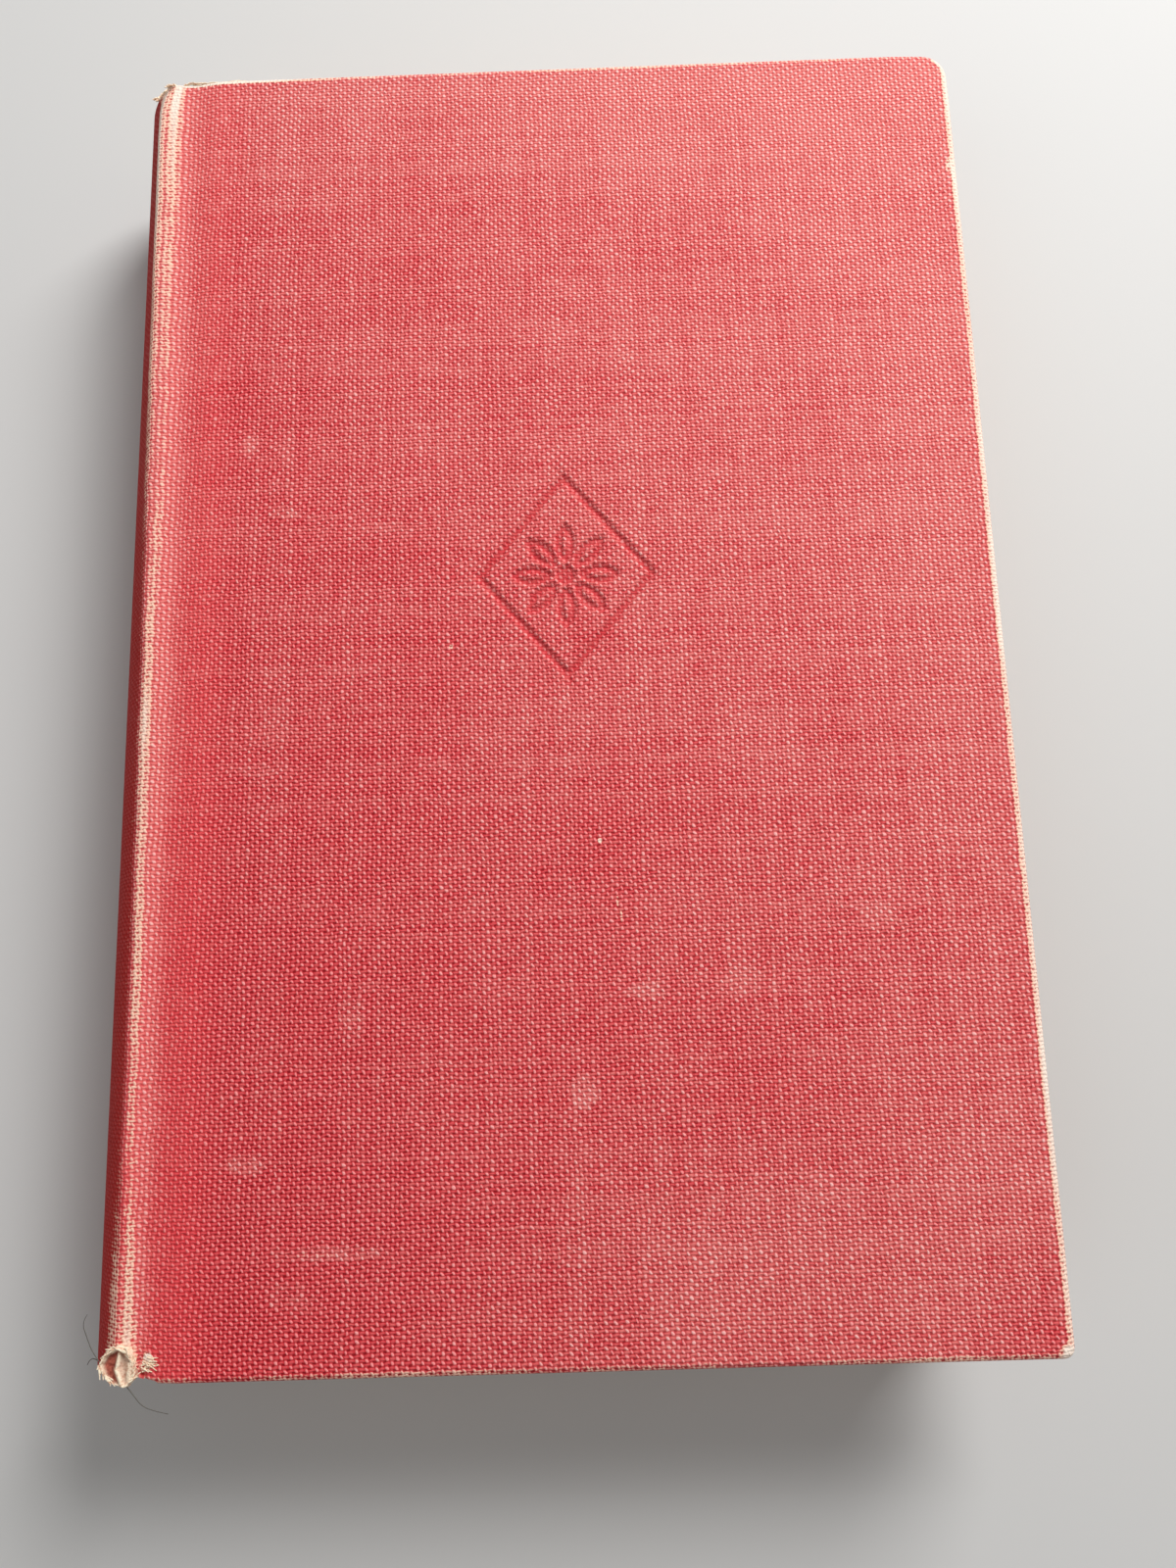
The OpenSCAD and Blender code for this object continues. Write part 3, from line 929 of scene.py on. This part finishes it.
def fold_case_half(head_r, tail_r, stamped):
    """Cloth over one cover, its joint and half of the spine, as the front cover lies."""
    bm = bmesh.new()
    flat_u, flat_v, past = (bm.verts.layers.float.new(label) for label in FLAT_LAYERS)
    *_, pressed = (bm.verts.layers.float.new(label) for label in MASK_LAYERS)
    rim_id = bm.verts.layers.int.new("rim_id")
    for vert, run, v in station_grid(bm, across_stations, along_stations):
        run, v = round_corner(run, v, head_r, tail_r)
        vert.co = folded(run)[0]
        vert.co.y = v
        vert[flat_u], vert[flat_v] = run, v
        vert[past] = max(run - rim_run, abs(v) - rim_height)

    points = []
    for vert in {v for e in free_rim(bm, flat_u) for v in e.verts}:
        vert[rim_id] = len(points)
        points.append(RimPoint(vert[flat_u], vert[flat_v], head_r if vert[flat_v] > 0 else tail_r))
        vert[past] = 0
    if stamped:
        press_stamp(bm, pressed)
    rim = free_rim(bm, flat_u)
    for stage, share in RIM_RINGS:
        rim, ring = extrude_rim(bm, rim)
        for vert in ring:
            point = points[vert[rim_id]]
            vert.co, length = point.at(stage, share)
            vert[flat_u] = point.run + point.out.x * length
            vert[flat_v] = point.v + point.out.y * length
            vert[past] = length
    bmesh.ops.remove_doubles(bm, verts=bm.verts[:], dist=WELD)
    on_top = Vector((fore_x / 2, half_height / 2, thickness))
    face_outward(bm, lambda face: -(face.calc_center_median() - on_top).length)
    return bm


front_sheet = fold_case_half(BUMPED_ROUND, CORNER_ROUND, True)
back_sheet = fold_case_half(CORNER_ROUND, CORNER_ROUND, False)
print("folded vertices", len(front_sheet.verts), "and", len(back_sheet.verts))


# %% [markdown]
# Old cloth doesn't lie as it was laid. At the joint's tail it has lost its stiffness and is drawn
# in, the caps of the spine have sunk, and the ridge leans back and is a little ragged. After this
# the wear is painted and the sheet is handed to its cover, with a bend over the joint instead of
# a cut.

# %% Settle the cloth and paint its wear
DRAWN_IN = 0.5 * MM
BENT_CORNER = 0.3 * MM
RIDGE_LEAN = 1.0 * MM
RAGGED = 0.08 * MM
CAP_SINK = 0.15 * MM
CAP_DROP = 0.2 * MM
TEAR_AT = Vector((-50.85, -88.0)) * MM
TEAR_DEPTH = 1.2 * MM


def settle(place, u, v, past, front):
    """Moves a point of the new cloth to where it lies on the old book."""
    place.y += (DRAWN_IN * ramp(-place.y - half_height, -6, -1)
                * bump(place.x - hinge_x, -0.8, 1.1))
    at_end = ramp(abs(place.y) - half_height, -5, 0)
    place.y -= copysign(CAP_SINK * at_end * ramp(u - spine_run, 1.6, -1.4), place.y)
    place.z -= CAP_DROP * at_end * bump(u - spine_run, -0.2, 2)
    lean = RIDGE_LEAN * (1 - at_end) * ramp(v, -45, 85) + RAGGED * wobble(v * 4, 3)
    place.x -= lean * bump(u - spine_run, 0.4, 1.9)
    place.z += lean * 0.3 * bump(u - spine_run, -1.2, 1.0)
    if front:
        place.z -= BENT_CORNER * ramp(hypot(place.x - fore_x, place.y - half_height), 9, 0)
        if past < 0.5 * MM:
            place.z -= (TEAR_DEPTH * bump(place.x - TEAR_AT.x, 0, 0.4)
                        * bump(place.y - TEAR_AT.y, 0, 2))


def finish_case_half(bm, name, body, on_back, seed, replaced, material):
    """Settles and paints the folded sheet, and hands it to its body."""
    layers = bm.verts.layers.float
    flat_u, flat_v, past, *masks = [layers[label] for label in FLAT_LAYERS + MASK_LAYERS]
    for vert in bm.verts:
        u, v, beyond = vert[flat_u], vert[flat_v], vert[past]
        settle(vert.co, u, v, beyond, not on_back)
        painted = worn_at(u, v, beyond, seed), fresh_at(u, v), faded_and_sheen_at(u, v), painted_shade_at(u)
        for mask, value in zip(masks, painted):
            vert[mask] = value
    if on_back:
        turn_to_back(bm)
    uv = bm.loops.layers.uv.new("cut")
    side = -1 if on_back else 1
    for face in bm.faces:
        for loop in face.loops:
            loop[uv].uv = (loop.vert[flat_u] * side, loop.vert[flat_v])
    for edge in bm.edges:
        edge.smooth = not edge.is_boundary
    piece = add_bending(name, mesh_of(bm, name, material), body, on_back, CLOTH_T)
    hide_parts(*replaced)
    return piece


# %% [markdown]
# Small marks make the book this one: a few spots rubbed to the thread, and pale smears of dried
# damp. They are lists of spots, so that one more mark is one more row.

# %% Marks, and the two covers
# Middle and reach on the cover in mm, and strength
MARKS = [((5.6, -25.5), (0.45, 0.45), 0.9), ((-13.2, 0.9), (0.4, 0.4), 0.8),
         ((-30.6, -74.4), (4.2, 0.5), 0.4), ((-49.9, -85.9), (1.0, 1.2), 1.0),
         ((7.6, -33.3), (0.22, 1.0), 0.6), ((8.0, -35.2), (0.22, 1.1), 0.6)]
SMEARS = [((2.8, -56.5), (2.4, 2.8), 0.70), ((11.0, -44.5), (3.4, 1.4), 0.45),
          ((22.5, -43.5), (3.4, 2.8), 0.35), ((-38.8, -64.0), (3.0, 1.8), 0.50),
          ((-28.0, -74.4), (9.0, 1.1), 0.50), ((-33.0, -79.5), (3.6, 3.0), 0.35),
          ((-40.5, 30.5), (1.3, 2.4), 0.45), ((-35.5, 20.5), (3.6, 0.9), 0.45),
          ((40.0, -36.0), (3.4, 2.2), 0.35), ((-26.0, -47.0), (2.2, 4.0), 0.30)]


def on_flat_cut(marks):
    return [((run_at(x * MM), y * MM), (rx * MM, ry * MM), strength)
            for (x, y), (rx, ry), strength in marks]


front_cloth = build_covering_cloth("front_covering_cloth", on_flat_cut(MARKS),
                                   on_flat_cut(SMEARS))
back_cloth = build_covering_cloth("back_covering_cloth", [], [])
front_case = finish_case_half(front_sheet, "front_covering_cloth", "front_cover", False, 1,
                              ("front_cloth", "spine_cloth"), front_cloth)
finish_case_half(back_sheet, "back_covering_cloth", "back_cover", True, 5, ("back_cloth",),
                 back_cloth)


# %% [markdown]
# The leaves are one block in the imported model. Here the block is a stack of outlines, and each
# leans from its place on the rounded back to its place on the flat, as folded and backed
# sections do. Small random offsets at the head, the tail and the fore edge make them read as
# many leaves that were trimmed and then handled.

# %% Leaves
SECTIONS = 13
SECTION_NOTCH = 0.35 * MM
LEAF_OFFSET = 0.09 * MM
# Places within a section, and how far the fold is sunk there
SECTION_STEPS = ((0, 1), (0.18, 0.25), (0.36, 0), (0.64, 0), (0.82, 0.25), (1, 1))
LEAF_STEP = 0.02
# Corners of a leaf: column and side, once round
RING = ((0, -1), (1, -1), (2, -1), (2, 1), (1, 1), (0, 1))
leaf_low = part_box("text_block")[0]
back_r = spine_x - leaf_low[0]
flat_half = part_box("front_flyleaf")[0][2] - mid_z
tip_x = spine_x - back_r * cos(BACK_ANGLE)
foot_x = tip_x + back_r * sin(BACK_ANGLE) - flat_half
back_sag = back_r * (1 - cos(BACK_ANGLE))
fore_r = (flat_half ** 2 + back_sag ** 2) / (2 * back_sag)
dice = random.Random(7)


def leaf_levels():
    """Share of the thickness from -1 to 1, how far the fold is sunk, and offsets of each level."""
    levels = []
    for k in range(SECTIONS):
        for share, sunk in SECTION_STEPS:
            for step in (0, LEAF_STEP) if 0 < share < 1 else (0,):
                offsets = [dice.uniform(-1, 0.2) * LEAF_OFFSET for _ in range(3)]
                levels.append(((k + share + step) / SECTIONS * 2 - 1, sunk * SECTION_NOTCH,
                               offsets))
    levels[0] = (-1, 0, levels[0][2])
    levels[-1] = (1, 0, levels[-1][2])
    return levels


def leaf_point(column, side, level):
    """Corner of a leaf: column 0 is on the back, 1 at the shoulder's foot, 2 the fore edge."""
    share, sunk, (head, tail, fore) = level
    z = mid_z + share * flat_half
    y = side * leaf_half_height + (head if side > 0 else -tail)
    if column == 0:
        angle = share * BACK_ANGLE
        radius = back_r - sunk
        return Vector((spine_x - radius * cos(angle), y, mid_z + radius * sin(angle)))
    if column == 1:
        return Vector((foot_x, y, z))
    hollow = leaf_fore_x - back_sag + fore_r - sqrt(fore_r ** 2 - (z - mid_z) ** 2)
    return Vector((hollow + fore, y, z))


def build_leaves():
    """Rings of points, joined by a face to each side and closed below and above."""
    levels = leaf_levels()
    count, last = len(RING), len(RING) * (len(levels) - 1)
    faces = [(k + n, k + (n + 1) % count, k + count + (n + 1) % count, k + count + n)
             for k in range(0, last, count) for n in range(count)]
    for a, b, c, d in ((0, 1, 4, 5), (1, 2, 3, 4)):
        faces += [(d, c, b, a), (last + a, last + b, last + c, last + d)]
    mesh = bpy.data.meshes.new("leaves")
    mesh.from_pydata([leaf_point(column, side, level) for level in levels
                      for column, side in RING], [], faces)
    heights = [level[0] * flat_half for level in levels for _ in RING]
    mesh.attributes.new("leaf", "FLOAT", "POINT").data.foreach_set("value", heights)
    mesh.materials.append(leaves_paper)
    print("leaves faces", len(mesh.polygons))
    return mesh


leaves = add_object("leaves", build_leaves())
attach(leaves, "text_block")
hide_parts("text_block")


# %% [markdown]
# The pastedown and the flyleaf are one folded sheet on a real book. Here the pastedown starts at
# the flyleaf's lip on the shoulder, crosses under the joint and down the board's back edge, and
# lies on the board. It shows the faint steps of the turned-in cloth and the mull beneath it.

# %% Endpapers
MULL_T = 0.2 * MM
MULL_REACH = 25 * MM
MULL_HALF = 72.5 * MM
WINDOW_HALF = 73.5 * MM
STEP_SOFT = 0.5 * MM
TURN_LEAD = 0.4 * MM
LIP_INSET = 0.106 * MM
FINE = 0.25 * MM
board_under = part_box("front_board")[0][2]
lip_x = tip_x + LIP_INSET
lip_z = mid_z + back_r * sin(BACK_ANGLE) + LIP_INSET


def step_up(value, edge):
    return smooth((value - edge) / STEP_SOFT + 0.5)


def under_paper(x, y):
    """Thickness of cloth or mull between the endpaper and the board or the joint's cloth. The
    paper has risen fully where the turned cloth begins."""
    turned = max(step_up(x, fore_x - TURN_IN - TURN_LEAD),
                 step_up(abs(y), WINDOW_HALF - TURN_LEAD))
    mull = (1 - step_up(x, board_x + MULL_REACH)) * (1 - step_up(abs(y), MULL_HALF))
    return max(turned * CLOTH_T, mull * MULL_T)


def paper_place(share, y):
    """Visible face of the endpaper: share 0 to 1 crosses the joint, 1 to 2 goes down the edge
    of the board, 2 to 3 crosses the board."""
    edge_x = board_x - under_paper(board_x, y) - PAPER_T
    if share <= 1:
        x = lip_x + (edge_x - lip_x) * share
        ceiling = thickness - groove(x)[0] - CLOTH_T - under_paper(x, y) - PAPER_T
        return Vector((x, y, lip_z + (ceiling - lip_z) * ramp(x - lip_x, 0, 1)))
    x = edge_x + (leaf_fore_x - edge_x) * max(share - 2, 0)
    below = board_under - under_paper(x, y) - PAPER_T
    if share <= 2:
        above = paper_place(1, y).z
        return Vector((x, y, above + (below - above) * (share - 1)))
    return Vector((x, y, below))


paper_columns = ([k / 12 for k in range(12)] + [1 + k / 4 for k in range(4)]
                 + [2 + (x - board_x) / (leaf_fore_x - board_x) for x in sorted(
                     spread(board_x, leaf_fore_x, 4 * MM)
                     + [board_x + MULL_REACH + k * FINE for k in (-2, -1, 0, 1, 2)]
                     + [fore_x - TURN_IN + k * FINE for k in (-4, -3, -2, -1, 0, 2)])] + [3])
paper_rows = sorted(spread(-leaf_half_height, leaf_half_height, 6 * MM) + [leaf_half_height]
                    + [side * (WINDOW_HALF + k * FINE)
                       for side in (-1, 1) for k in (-5, -3, -2, -1, 0, 1, 2)])


def build_endpaper(name, body, on_back, replaced):
    bm = bmesh.new()
    for vert, share, y in station_grid(bm, paper_columns, paper_rows):
        vert.co = paper_place(share, y)
    face_outward(bm, lambda face: face.calc_area(), way=-1)
    if on_back:
        turn_to_back(bm)
    piece = add_bending(name, mesh_of(bm, name, endpaper), body, on_back, PAPER_T)
    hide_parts(replaced)


build_endpaper("front_pasted_endpaper", "front_cover", False, "front_pastedown")
build_endpaper("back_pasted_endpaper", "back_cover", True, "back_pastedown")


# %% [markdown]
# At the tail the cloth over the ridge has torn and curled over, so that its undyed inside shows:
# a cream lip, a hollow painted darker brown as shade, and one standing fold. The flap is a grid
# pulled into a round patch and raised by soft bumps. Sculpting would do as well, but the two short
# tables are easier to fit to a photograph.

# %% Torn cloth
FLAP_AT = Vector((-53.15, -86.25, 24.02)) * MM
FLAP_CELLS = 36
FLAP_T = 0.3 * MM
# In mm, every 30 degrees from the fore edge round by the head: reach, and height of the lip
FLAP_REACH = [1.75, 1.95, 2.35, 2.45, 2.25, 2.3, 2.25, 1.85, 1.95, 2.3, 2.6, 2.3]
FLAP_LIP = [0.2, 0.6, 0.9, 0.85, 0.8, 0.8, 0.75, 0.35, 0.25, 0.4, 0.5, 0.3]
# Place and half width of the rolled lip, as shares of the reach
LIP_AT, LIP_HALF = 0.88, 0.13
# Raised parts of the flap: ends of a line in mm, its half width, and its height
FLAP_FOLDS = [((0.15, 1.5), (-0.15, -0.3), 0.30, 0.55), ((-0.15, -0.3), (0.5, -1.9), 0.36, 0.60),
              ((0.9, 2.0), (1.5, 1.3), 0.50, 0.85), ((1.3, 0.2), (1.3, -1.5), 0.50, 0.40),
              ((0.6, -2.3), (1.5, -2.0), 0.45, 0.60)]


def round_list(table, angle):
    """Value between two entries of a table that goes once round the circle."""
    place = angle / (2 * pi) * len(table)
    low = int(place) % len(table)
    return table[low] + (table[(low + 1) % len(table)] - table[low]) * (place - int(place))


def line_bump(x, y, start, end, width):
    """Soft bump beside a line, 1 on it."""
    sx, sy = end[0] - start[0], end[1] - start[1]
    t = ((x - start[0]) * sx + (y - start[1]) * sy) / (sx * sx + sy * sy)
    t = min(max(t, 0), 1)
    return exp(-((x - start[0] - sx * t) ** 2 + (y - start[1] - sy * t) ** 2) / width ** 2)


def flap_point(share, angle):
    """Place on the flap, and how raised it is there, in mm."""
    reach = round_list(FLAP_REACH, angle) * (1 + 0.03 * sin(9 * angle)) * share
    x, y = reach * cos(angle), reach * sin(angle)
    rise = round_list(FLAP_LIP, angle) * exp(-((share - LIP_AT) / LIP_HALF) ** 2)
    for begin, finish, width, height in FLAP_FOLDS:
        rise = max(rise, height * line_bump(x, y, begin, finish, width))
    edge = -0.9 * smooth((share - 0.9) / 0.1)
    return FLAP_AT + Vector((x, y, rise + edge)) * MM, rise


def build_flap(material):
    bm = bmesh.new()
    bare = bm.verts.layers.float.new("bare")
    for vert in add_grid(bm, FLAP_CELLS, FLAP_CELLS):
        x, y = to_disc(vert.co.x, vert.co.y)
        vert.co, rise = flap_point(min(hypot(x, y), 1), atan2(y, x) % (2 * pi))
        # Cream on raised parts and partly on the half towards the fore edge; low parts get painted shade.
        vert[bare] = max(smooth(rise / 0.5), 0.55 * ramp(vert.co.x - FLAP_AT.x, -0.18, 0.42))
    face_outward(bm, lambda face: face.calc_center_median().z)
    return mesh_of(bm, "torn_cloth", material)


def build_bare_cloth():
    """Undyed, frayed side of the cloth: cream where it is bare, a darker brownish pink as painted shade in the low
    hollow.
    """
    material, tree = new_material("frayed_cloth")
    streak = noise(node(tree, "TexCoord", "Object", {}), 2600, 3, 0.7)
    cream = blend(remap(streak, 0.3, 0.6), shade(226, 172, 140), shade(255, 240, 212))
    hollow_shade = blend(remap(streak, 0.3, 0.7), shade(126, 48, 34), shade(186, 100, 80))
    return finish_material(material, blend(attribute(tree, "bare"), hollow_shade, cream), 0.9, streak,
                           0.15 * MM)


def add_fray(name, mesh, sheet_t=0):
    piece = add_bending(name, mesh, "front_cover", False, sheet_t)


frayed = build_bare_cloth()
add_fray("torn_cloth", build_flap(frayed), FLAP_T)


# %% [markdown]
# Round the flap, and at the head, pale threads stand off the edge, and two dark fibres have come
# loose. The threads are short curves with a round section, because nothing that fine would come
# out of a surface. Each starts at a place on the worn edge and wanders a little at random.

# %% Loose threads
THREAD_R = 0.10 * MM
FIBRE_R = 0.06 * MM
TAPER = 0.45
TUFTS_ON_LIP, TUFTS_BEFORE_LIP = 46, 22
TUFTS_ON_CORNER, TUFTS_ON_HEAD, TUFTS_ON_EDGE = 12, 90, 34
loose = random.Random(11)


def build_threads(name, strands, radius, material):
    """One mesh of round threads; each strand is a list of points."""
    curve = bpy.data.curves.new(name, "CURVE")
    curve.dimensions = "3D"
    curve.bevel_depth = radius
    curve.bevel_resolution = 1
    curve.resolution_u = 5
    curve.use_fill_caps = True
    for points in strands:
        spline = curve.splines.new("NURBS")
        spline.points.add(len(points) - 1)
        for k, point in enumerate(points):
            spline.points[k].co = (*point, 1)
            spline.points[k].radius = 1 - TAPER * k / len(points)
        spline.use_endpoint_u = True
        spline.order_u = 3
    holder = add_object(name, curve)
    mesh = bpy.data.meshes.new_from_object(
        holder.evaluated_get(bpy.context.evaluated_depsgraph_get()))
    bpy.data.objects.remove(holder)
    for face in mesh.polygons:
        face.use_smooth = True
    mesh.materials.append(material)
    print(name, "faces", len(mesh.polygons))
    return mesh


def any_way(amount):
    return Vector([loose.uniform(-amount, amount) for _ in range(3)])


def add_tuft(start, direction, shortest, longest, curl):
    """A thread of four points that leaves start and curls a little. Its length is in mm."""
    points = [Vector(start)]
    step = Vector(direction).normalized() * loose.uniform(shortest, longest) * MM / 3
    for _ in range(3):
        points.append(points[-1] + step + any_way(curl) * step.length)
    lip_threads.append(points)


def head_edge(mesh, low, high):
    """Places on the worn fold at the head between two distances from the crown, in order."""
    flat_u, flat_v, past = ([row.value for row in mesh.attributes[label].data]
                            for label in FLAT_LAYERS)
    places = [(flat_u[vert.index], vert.co.copy()) for vert in mesh.vertices
              if low < flat_u[vert.index] < high and flat_v[vert.index] > 0
              and 0.2 * MM < past[vert.index] < 0.6 * MM]
    return [place for _, place in sorted(places, key=lambda row: row[0])]


lip_threads = []
# Along the torn lip
for k in range(TUFTS_ON_LIP):
    angle = (-0.9 + 5.0 * k / TUFTS_ON_LIP + loose.uniform(-0.08, 0.08)) % (2 * pi)
    root = flap_point(loose.uniform(0.82, 0.95), angle)[0]
    round_lip = Vector((-sin(angle), cos(angle), loose.uniform(-0.3, 0.1)))
    outward = Vector((cos(angle), sin(angle), 0))
    add_tuft(root, round_lip + outward * loose.uniform(-0.3, 0.35), 0.7, 1.3, 0.3)
# On the rubbed cloth in front of it
for k in range(TUFTS_BEFORE_LIP):
    root = Vector((-50.3 + loose.uniform(-0.4, 0.9), -86.3 + loose.uniform(-0.9, 0.9), 23.6)) * MM
    add_tuft(root, (loose.uniform(0.2, 1), loose.uniform(-0.4, 0.4), 0.12), 0.5, 1.0, 0.3)
# At the head: the corner of the spine, the worn fold and the edge of the cover
head_rim = head_edge(front_case.data, spine_run - 3.6 * MM, spine_run + 1.2 * MM)
for k in range(TUFTS_ON_CORNER):
    add_tuft(head_rim[0] + any_way(0.2 * MM),
             (-1, loose.uniform(-0.5, -0.1), loose.uniform(0.1, 0.5)), 0.5, 0.9, 0.2)
for k in range(TUFTS_ON_HEAD):
    place = loose.randrange(1, len(head_rim))
    along = head_rim[place - 1] - head_rim[place]
    add_tuft(head_rim[place] + Vector((0, 0, 0.1 * MM)), along, 0.6, 1.2, 0.12)
for k in range(TUFTS_ON_EDGE):
    place = Vector((loose.uniform(-53.6, -43), 88.3, loose.uniform(23.3, 23.7))) * MM
    add_tuft(place, (1, loose.uniform(-0.05, 0.08), loose.uniform(-0.2, 0.1)), 0.8, 1.8, 0.08)
FIBRES = [[(-55.4, -85.9, 23.9), (-56.5, -84.9, 23.6), (-57.6, -83.2, 23.0), (-58.4, -81.6, 22.7),
           (-57.9, -80.8, 22.4)],
          [(-55.9, -85.6, 23.7), (-56.9, -85.2, 23.2), (-57.4, -86.3, 22.9)],
          [(-52.4, -88.6, 23.5), (-51.6, -89.9, 23.0), (-51.0, -91.2, 22.2), (-49.7, -91.9, 21.9),
           (-47.9, -92.3, 21.8)]]

threads_mesh = build_threads("loose_threads", lip_threads, THREAD_R, frayed)
cream_layer = threads_mesh.attributes.new("bare", "FLOAT", "POINT")
cream_layer.data.foreach_set("value", [1.0] * len(threads_mesh.vertices))
add_fray("loose_threads", threads_mesh)
grey_fibre = build_paper("grey_fibre", shade(112, 108, 100), shade(70, 66, 62))
add_fray("loose_fibres", build_threads(
    "loose_fibres", [[Vector(point) * MM for point in strand] for strand in FIBRES], FIBRE_R,
    grey_fibre))


# %% [markdown]
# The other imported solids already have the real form, so they only get a finish. A loop over the
# material slots that the record names keeps each piece with its own paper, board or thread.

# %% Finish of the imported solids
finishes = {"endpaper": endpaper, "leaves": leaves_paper, "liner_paper": brown_paper,
            "board": grey_board, "mull": mull_cloth, "thread": linen_thread,
            "covering_cloth": back_cloth}
for row in frame["record"]["subparts"]:
    solid = frame["nodes"][row["node"]]
    solid.data.materials.clear()
    solid.data.materials.append(finishes[row["material_slot"]])


# %% [markdown]
# The book lies on a pale floor under soft studio light. One lamp stands at the head and to the
# right, as the window does in the photograph, and near enough that the light falls off towards
# the tail. The pale world fills the shadows.

# %% Floor and light
FLOOR_HALF = 2.0
WORLD_STRENGTH = 0.25
floor_material, floor_tree = new_material("floor")
floor_shader = floor_tree.nodes["Principled BSDF"]
feed(floor_shader.inputs["Base Color"], shade(208, 207, 205))
feed(floor_shader.inputs["Roughness"], 0.9)
bm = bmesh.new()
add_grid(bm, 1, 1, FLOOR_HALF)
floor = add_object("floor", mesh_of(bm, "floor", floor_material, smooth_faces=False))


def area_lamp(name, at, size, power):
    lamp = bpy.data.lights.new(name, "AREA")
    lamp.shape = "SQUARE"
    lamp.size = size
    lamp.energy = power
    holder = add_object(name, lamp)
    holder.location = at
    holder.rotation_euler = Vector(at).to_track_quat("Z", "Y").to_euler()


area_lamp("window_light", (0.31, 0.42, 0.44), 0.30, 5.3)
area_lamp("fill_light", (-0.60, -0.40, 0.90), 0.8, 1.5)

world = bpy.data.worlds.new("studio")
bpy.context.scene.world = world
world.use_nodes = True
background = world.node_tree.nodes["Background"]
feed(background.inputs["Color"], (1, 1, 1, 1))
feed(background.inputs["Strength"], WORLD_STRENGTH)
bpy.context.scene.view_settings.view_transform = "Standard"
